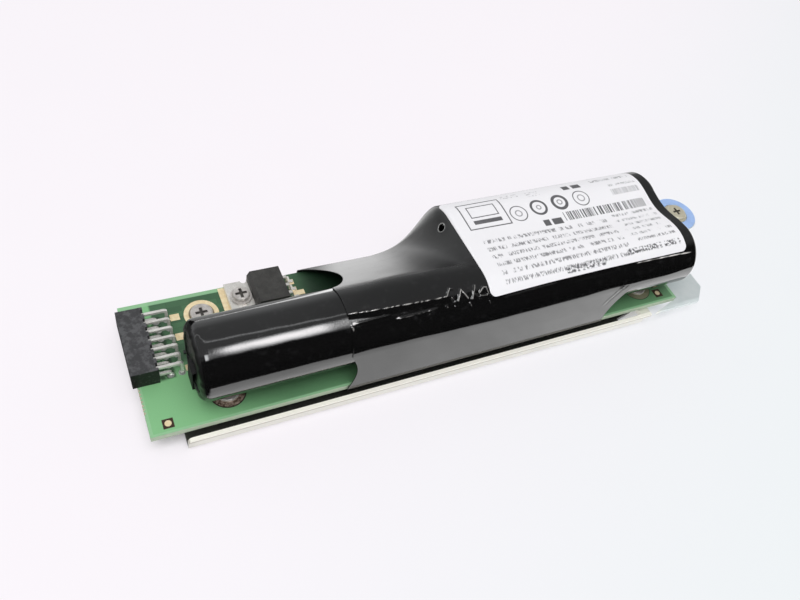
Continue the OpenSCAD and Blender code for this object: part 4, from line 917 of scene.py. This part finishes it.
def solid_material(name, first, second, rough, scale=1.5, depth=0.02):
    """A moulded, painted or printed finish: two near shades mottled, with a fine skin."""
    r, spot = recipe(name)
    mask, skin = speckle(r, spot, 0.3 * scale, 6.0 * scale, share=0.5, spread=0.15)
    return r.surface(r.mix(mask, first, second), Roughness=rough - 0.05 + skin * 0.1,
                     IOR=1.5, Normal=r.bump(skin, depth))


def header_material():
    """Moulded black socket: mottled grey on top, and painted nearly black on its near end as
    its shade.
    """
    r, spot = recipe("header_plastic")
    skin = r.noise(spot, 2.4, 5.0, 0.65)
    bloom = r.ramp(r.noise(spot, 0.7, 4.0, 0.6), 0.42, 0.62)
    shade = r.mix(bloom * 0.5 + skin * 0.3, (0.03, 0.03, 0.032), (0.125, 0.125, 0.13))
    speck = r.ramp(r.noise(spot, 1.6, 4.0, 0.7), 0.55, 0.65)
    # The near end painted nearly black: painted shade of the side turned from the light
    end = r.mix(speck * 0.6, (0.008, 0.008, 0.008), (0.07, 0.07, 0.07))
    beyond_end = r.ramp(r.parts(spot)[1], 13.02, 13.06)
    return r.surface(r.mix(beyond_end, end, shade), Roughness=0.55 + skin * 0.15,
                     Normal=r.bump(skin, 0.05))


def tray_material(colours):
    """Passivated sheet: a warm film of colour over brushed metal, cooler on the ear. The near
    lip
    is painted as lit: a cream painted highlight along its top edge, a paler face, and a dark
    line of painted shade between them. The channel between the board's edge and the lip is
    painted dark as its shade."""
    r, spot = recipe("tray_metal")
    x, y, z = r.parts(spot)
    brushed = r.noise(r.stretched(spot, (0.12, 2.0, 2.0)), 2.4, 3.0, 0.6)
    cloud = r.ramp(r.noise(spot, 0.12, 4.0, 0.6), 0.35, 0.65)
    ear = r.ramp(x, 139.0, 143.0)
    lip = r.fall(y, -1.3, -1.24)
    # The lip's cream top edge is a painted highlight of its bend; the dark line below it is
    # painted shade
    warm = r.coats(colours.tray, (cloud, (0.84, 0.82, 0.74)),
                   (lip * r.ramp(z, -2.75, -2.3), (1.0, 0.97, 0.88)),
                   (lip * r.fall(z, -2.75, -2.3) * 0.8, (0.80, 0.78, 0.71)),
                   (lip * r.band(z, -3.0, -2.6, 0.12) * 0.7, (0.50, 0.46, 0.39)))
    cool = r.mix(cloud, (0.66, 0.73, 0.73), (0.74, 0.79, 0.79))
    # The channel is painted near black: painted shade under the board's edge
    channel = r.band(y, -1.28, 3.0, 0.03) * (1 - ear) * (x < 134.2)
    shade = r.coats(warm, (ear, cool), (channel * 0.96, (0.022, 0.024, 0.020)))
    return r.surface(shade, Metallic=0.35 - lip * 0.3, Roughness=0.34 + brushed * 0.16,
                     Normal=r.bump(brushed, 0.012))


# Plain metals: the brighter and the darker shade, the roughness, and what else differs
METALS = {
    "tin_plate": ((0.96, 0.94, 0.90), (0.66, 0.64, 0.60), 0.25, {"metallic": 0.4}),
    "solder": ((0.86, 0.86, 0.84), (0.5, 0.5, 0.49), 0.3, {"depth": 0.04}),
    "can_steel": ((0.75, 0.74, 0.72), (0.6, 0.59, 0.56), 0.28, {}),
    "nickel": ((0.78, 0.75, 0.68), (0.6, 0.58, 0.53), 0.3, {}),
}
LEAD = {"scale": 2.0, "depth": 0.01}
# Plain solids, in the same way
SOLIDS = {
    "moulding": ((0.030, 0.029, 0.027), (0.062, 0.060, 0.056), 0.5, {"depth": 0.04}),
    "resistor_black": ((0.02, 0.02, 0.02), (0.04, 0.04, 0.04), 0.4, {}),
    "capacitor_tan": ((0.42, 0.28, 0.16), (0.5, 0.36, 0.22), 0.45, {}),
    "gasket_white": ((0.7, 0.7, 0.68), (0.8, 0.8, 0.78), 0.5, {}),
    "jacket_blue": ((0.03, 0.12, 0.3), (0.04, 0.16, 0.36), 0.3, {}),
    "lead_red": ((0.42, 0.02, 0.015), (0.5, 0.03, 0.02), 0.45, LEAD),
    "lead_black": ((0.012, 0.012, 0.012), (0.03, 0.03, 0.03), 0.45, LEAD),
    "paper_black": ((0.012, 0.012, 0.012), (0.03, 0.03, 0.03), 0.7, {"depth": 0.03}),
    "paper_grey": ((0.07, 0.09, 0.12), (0.1, 0.12, 0.15), 0.7, {"depth": 0.03}),
    "foam_grey": ((0.1, 0.1, 0.1), (0.16, 0.16, 0.16), 0.85, {"depth": 0.1}),
    "retainer_black": ((0.02, 0.02, 0.02), (0.035, 0.035, 0.035), 0.5, {}),
}


@functools.cache
def material_table():
    """The finish of each material slot of the record, made when it is first asked for."""
    colours = bpy.context.scene.module_colours
    ring_shade = tuple(0.85 * c for c in colours.ring)
    table = {
        "tray_metal": tray_material(colours), "plated_steel": screw_material(),
        "solder_mask": board_material(colours), "gold_plate": land_material(),
        "header_plastic": header_material(), "wrap_film": wrap_material(colours),
        "sleeve_film": sleeve_material(colours), "label_film": label_material(colours),
        "ring_blue": solid_material("ring_blue", colours.ring, ring_shade, 0.4),
    }
    for make, plain in ((metal_material, METALS), (solid_material, SOLIDS)):
        for name, (first, second, rough, rest) in plain.items():
            table[name] = make(name, first, second, rough, **rest)
    return table


# ---- operators


class ModuleOperator(bpy.types.Operator):
    """Common ground of the module's operators"""

    bl_options = {"REGISTER", "UNDO"}


class OBJECT_OT_module_finishes(ModuleOperator):
    """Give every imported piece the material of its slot, and the front tab black paper"""

    bl_idname = "object.module_finishes"
    bl_label = "Finishes"

    def execute(self, context):
        for part in frame["record"]["subparts"]:
            piece = frame["nodes"][part["node"]]
            slot = "paper_black" if part["node"] == "front_tab" else part["material_slot"]
            piece.data.materials.clear()
            piece.data.materials.append(material_table()[slot])
        return {"FINISHED"}


class OBJECT_OT_module_wrap(ModuleOperator):
    """Draw the inner wrap: a tube over each row of cells and the film between them"""

    bl_idname = "object.module_wrap"
    bl_label = "Inner wrap"

    def execute(self, context):
        s = film_frame()
        rear_lip = s.wrap_lip + 1.0
        near = tube_grid(s, s.near_y, s.wrap_front, s.wrap_rear, s.end_edge, s.end_edge,
                         s.wrap_lip, rear_lip)
        far = tube_grid(s, s.far_y, s.shoulder, s.wrap_rear, s.far_edge, s.end_edge,
                        s.wrap_lip, rear_lip)
        piece = make_object("wrap_film_tubes", *joined([near, far, web_grid(s)]))
        finish_piece(piece, "wrap_film", "cell_wrap")
        cover = make_object("front_end_cover", *cover_grid(s, s.wrap_front))
        finish_piece(cover, "paper_black", "front_end_disc", look="wrap_film")
        return {"FINISHED"}


class OBJECT_OT_module_sleeve(ModuleOperator):
    """Draw the outer sleeve with its seam, creases and waves"""

    bl_idname = "object.module_sleeve"
    bl_label = "Outer sleeve"

    def execute(self, context):
        s = film_frame()
        stations, around = sleeve_lines()
        outer, painted_highlight = sleeve_grid(s, stations, around, 0.0)
        inner, _ = sleeve_grid(s, stations, around, s.sleeve_t)
        painted_highlight = np.concatenate([painted_highlight, 0 * painted_highlight])
        piece = make_object("sleeve_film_tube", *closed_walls(outer, inner), painted_highlight=painted_highlight)
        finish_piece(piece, "sleeve_film", "outer_sleeve")
        return {"FINISHED"}


class OBJECT_OT_module_label(ModuleOperator):
    """Draw the label over the sleeve's three rounds"""

    bl_idname = "object.module_label"
    bl_label = "Label"

    def execute(self, context):
        s = film_frame()
        label = in_mm(context.scene.label_sizes)
        top, flat = label_grid(s, label, label.lift + label.thick)
        under, _ = label_grid(s, label, label.lift)
        rows, columns = top.shape[:2]
        upper = quads(rows, columns)
        size = rows * columns
        number = np.arange(size).reshape(rows, columns)
        rim = np.concatenate([number[0, :-1], number[:-1, -1], number[-1, :0:-1],
                              number[:0:-1, 0]])
        after = np.roll(rim, -1)
        sides = np.stack([rim, after, after + size, rim + size], -1)
        faces = np.concatenate([upper, upper[:, ::-1] + size, sides[:, ::-1]])
        piece = make_object("label_sheet", np.concatenate([top, under]), faces,
                            np.concatenate([flat, flat]))
        finish_piece(piece, "label_film", "pack_label")
        return {"FINISHED"}


class OBJECT_OT_module_stage(ModuleOperator):
    """Set up the floor, the light and the camera"""

    bl_idname = "object.module_stage"
    bl_label = "Stage"

    def execute(self, context):
        floor_stage()
        studio_light()
        front_camera(context.scene)
        return {"FINISHED"}


# ---- stage


# Half the length of the floor's sides
FLOOR_REACH = 1500.0
# Strength of the light from all round
EVEN_LIGHT = 0.66
# The camera's lens in millimetres, its turn as an axis times an angle in radians, and the
# board's datum as the camera sees it, in millimetres to the right, down and ahead
SENSOR, LENS = 36.0, 33.17501757
CAMERA_TURN = (2.4465144734, -0.4292177257, 0.4140925639)
CAMERA_SHIFT = (-52.8823608345, 29.3298825588, 156.2918087748)


def floor_stage():
    """A pale floor, shaded under the board. Mirror reflections see it lit from a line in
    front of the module on and dark before that line, as a table in a dark room is. Behind
    the module they see it bright beside the flare only, which lights the flare's far side,
    and dim beside the front end and the label."""
    line = np.array([-FLOOR_REACH, FLOOR_REACH])
    x, y = np.meshgrid(line, line, indexing="ij")
    floor = make_object("floor", stacked(x, y, (FLOOR - DATUM[2]) / MM), quads(2, 2))
    r, spot = recipe("floor_paper")
    x, y, _ = r.parts(spot)
    camera, glossy = ray_kinds(r)
    edge = -29.3 + r.ramp(x, 70.0, 104.0) * 7.5 - r.ramp(x, 104.0, 160.0) * 9.0
    behind = r.ramp(y, 30.0, 50.0) * (
        r.ramp(x, 54.0, 62.0) * 2.5 - 0.75 - r.ramp(x, 73.0, 99.0) * 2.8)
    level = 1.05 + r.ramp(x, 60.0, 160.0) * 0.45 + r.noise(spot, 0.09, 3.0) * 0.6 + behind
    seen = r.ramp(y - edge, -2.0, 2.0) * r.ramp(x, 4.0, 12.0) * level
    under = r.patch(x, y, 0.0, BOARD_L, -1.0, BOARD_W + 1.0, 3.0)
    grain = r.noise(spot, 0.05, 2.0) * 0.01
    paper = r.mix(r.ramp(x - y * 1.4, -20.0, 280.0), (0.93, 0.89, 0.93), (0.83, 0.865, 0.88))
    diffuse = r.add("ShaderNodeBsdfDiffuse", {"Color": paper})
    glow = r.add("ShaderNodeEmission", {
        "Color": r.stretched(paper, 1.04 - grain), "Strength": 1.0})
    shown = r.add("ShaderNodeMixShader", (camera * (0.72 - under * 0.6), diffuse, glow))
    mirror = r.add("ShaderNodeEmission", {"Color": seen, "Strength": 1.0})
    whole = r.add("ShaderNodeMixShader", (glossy, shown, mirror))
    r.add("ShaderNodeOutputMaterial", (whole,), None)
    floor.data.materials.append(r.owner)


def ray_kinds(r):
    """1 for what the camera sees straight, and 1 for what a mirror reflection sees."""
    return [r.add("ShaderNodeLightPath", output=kind)
            for kind in ("Is Camera Ray", "Is Glossy Ray")]


def studio_light():
    """Even white light from all round, with a lamp above the near side. Mirror reflections
    see a pattern instead, laid out by the ray's x and its tilt from straight up towards
    the far side: the dark room on the camera's side, a plain level overhead that steps up
    near the far horizon, a broad bright strip overhead, a bright start of that strip
    towards the front end, and a thin line beside it."""
    world = bpy.data.worlds.new("studio")
    bpy.context.scene.world = world
    r = Recipe(world)
    x, y, z = r.parts(r.add("ShaderNodeTexCoord", output="Generated"))
    camera, glossy = ray_kinds(r)
    tilt = r.math("ARCTAN2", y, z)
    side = r.fall(x, 0.2, 0.42)
    strip = r.ramp(tilt + (x - 0.19) * 0.5, -0.71, -0.43) * r.fall(tilt, -0.39, -0.17)
    strip = strip * r.ramp(x, 0.12, 0.19) * r.fall(x, 0.27, 0.335) * r.ramp(z, 0.2, 0.4)
    start = r.band(tilt, -0.64, -0.44, 0.08) * r.band(x, -0.35, 0.09, 0.05)
    line = r.band(tilt + (x - 0.15), 0.12, 0.18, 0.03) * r.fall(x, 0.31, 0.33)
    room = r.ramp(tilt, -0.75, -0.35) * (0.25 + side * 0.14)
    room = room + r.ramp(tilt, 0.9, 1.45) * (0.06 + side * 0.32)
    pattern = 0.006 + room + line * 1.7 + strip * 12.0 + start * 7.0
    level = EVEN_LIGHT + (pattern - EVEN_LIGHT) * glossy
    level = level + (1.0 - level) * camera
    tint = r.mix(glossy * strip, (0.97, 0.985, 1.0), (1.0, 0.97, 0.98))
    sky = r.add("ShaderNodeBackground", {"Color": tint, "Strength": level})
    r.add("ShaderNodeOutputWorld", (sky,), None)
    lamp = bpy.data.lights.new("key", "AREA")
    lamp.shape, lamp.size, lamp.size_y, lamp.energy = "RECTANGLE", 0.9, 0.6, 5.0
    key = bpy.data.objects.new("key", lamp)
    key.visible_glossy = False
    key.location = (-0.15, -0.25, 0.9)
    key.rotation_euler = (math.radians(-15), math.radians(-9), 0)
    bpy.context.scene.collection.objects.link(key)


def front_camera(scene):
    """The camera: its axes are the rows of its turn, with down and ahead reversed, and its
    place is its shift turned back."""
    turn = np.array(Matrix.Rotation(np.linalg.norm(CAMERA_TURN), 3, CAMERA_TURN))
    matrix = np.eye(4)
    matrix[:3, :3] = (turn * [[1], [-1], [-1]]).T
    matrix[:3, 3] = DATUM - MM * (turn.T @ CAMERA_SHIFT)
    data = bpy.data.cameras.new("front_view")
    data.sensor_width, data.lens = SENSOR, LENS
    data.clip_start, data.clip_end = 0.01, 20.0
    camera = bpy.data.objects.new("front_view", data)
    camera.matrix_world = Matrix(matrix.tolist())
    scene.collection.objects.link(camera)
    scene.camera = camera
    scene.view_settings.view_transform = "Standard"


# ---- panel and registration

STEPS = (OBJECT_OT_module_stage, OBJECT_OT_module_finishes, OBJECT_OT_module_wrap,
         OBJECT_OT_module_sleeve, OBJECT_OT_module_label)
GROUPS = {"film_sizes": FilmSizes, "label_sizes": LabelSizes, "module_colours": ModuleColours}


class VIEW3D_PT_battery_module(bpy.types.Panel):
    """The module's steps and values, in the sidebar"""

    bl_idname = "VIEW3D_PT_battery_module"
    bl_label = "Battery module"
    bl_space_type = "VIEW_3D"
    bl_region_type = "UI"
    bl_category = "Battery module"

    def draw(self, context):
        for step in STEPS:
            self.layout.operator(step.bl_idname)
        for group in GROUPS:
            values = getattr(context.scene, group)
            box = self.layout.box()
            for name in values.__annotations__:
                box.prop(values, name)


def register():
    for cls in (*GROUPS.values(), *STEPS, VIEW3D_PT_battery_module):
        bpy.utils.register_class(cls)
    for name, group in GROUPS.items():
        setattr(bpy.types.Scene, name, PointerProperty(type=group))


def unregister():
    for name in GROUPS:
        delattr(bpy.types.Scene, name)
    for cls in (VIEW3D_PT_battery_module, *reversed(STEPS), *GROUPS.values()):
        bpy.utils.unregister_class(cls)


def run_step(step):
    """Call an operator by its class, through bpy.ops."""
    area, name = step.bl_idname.split(".")
    getattr(getattr(bpy.ops, area), name)()


def main():
    register()
    for step in STEPS:
        run_step(step)


if __name__ == "__main__":
    main()
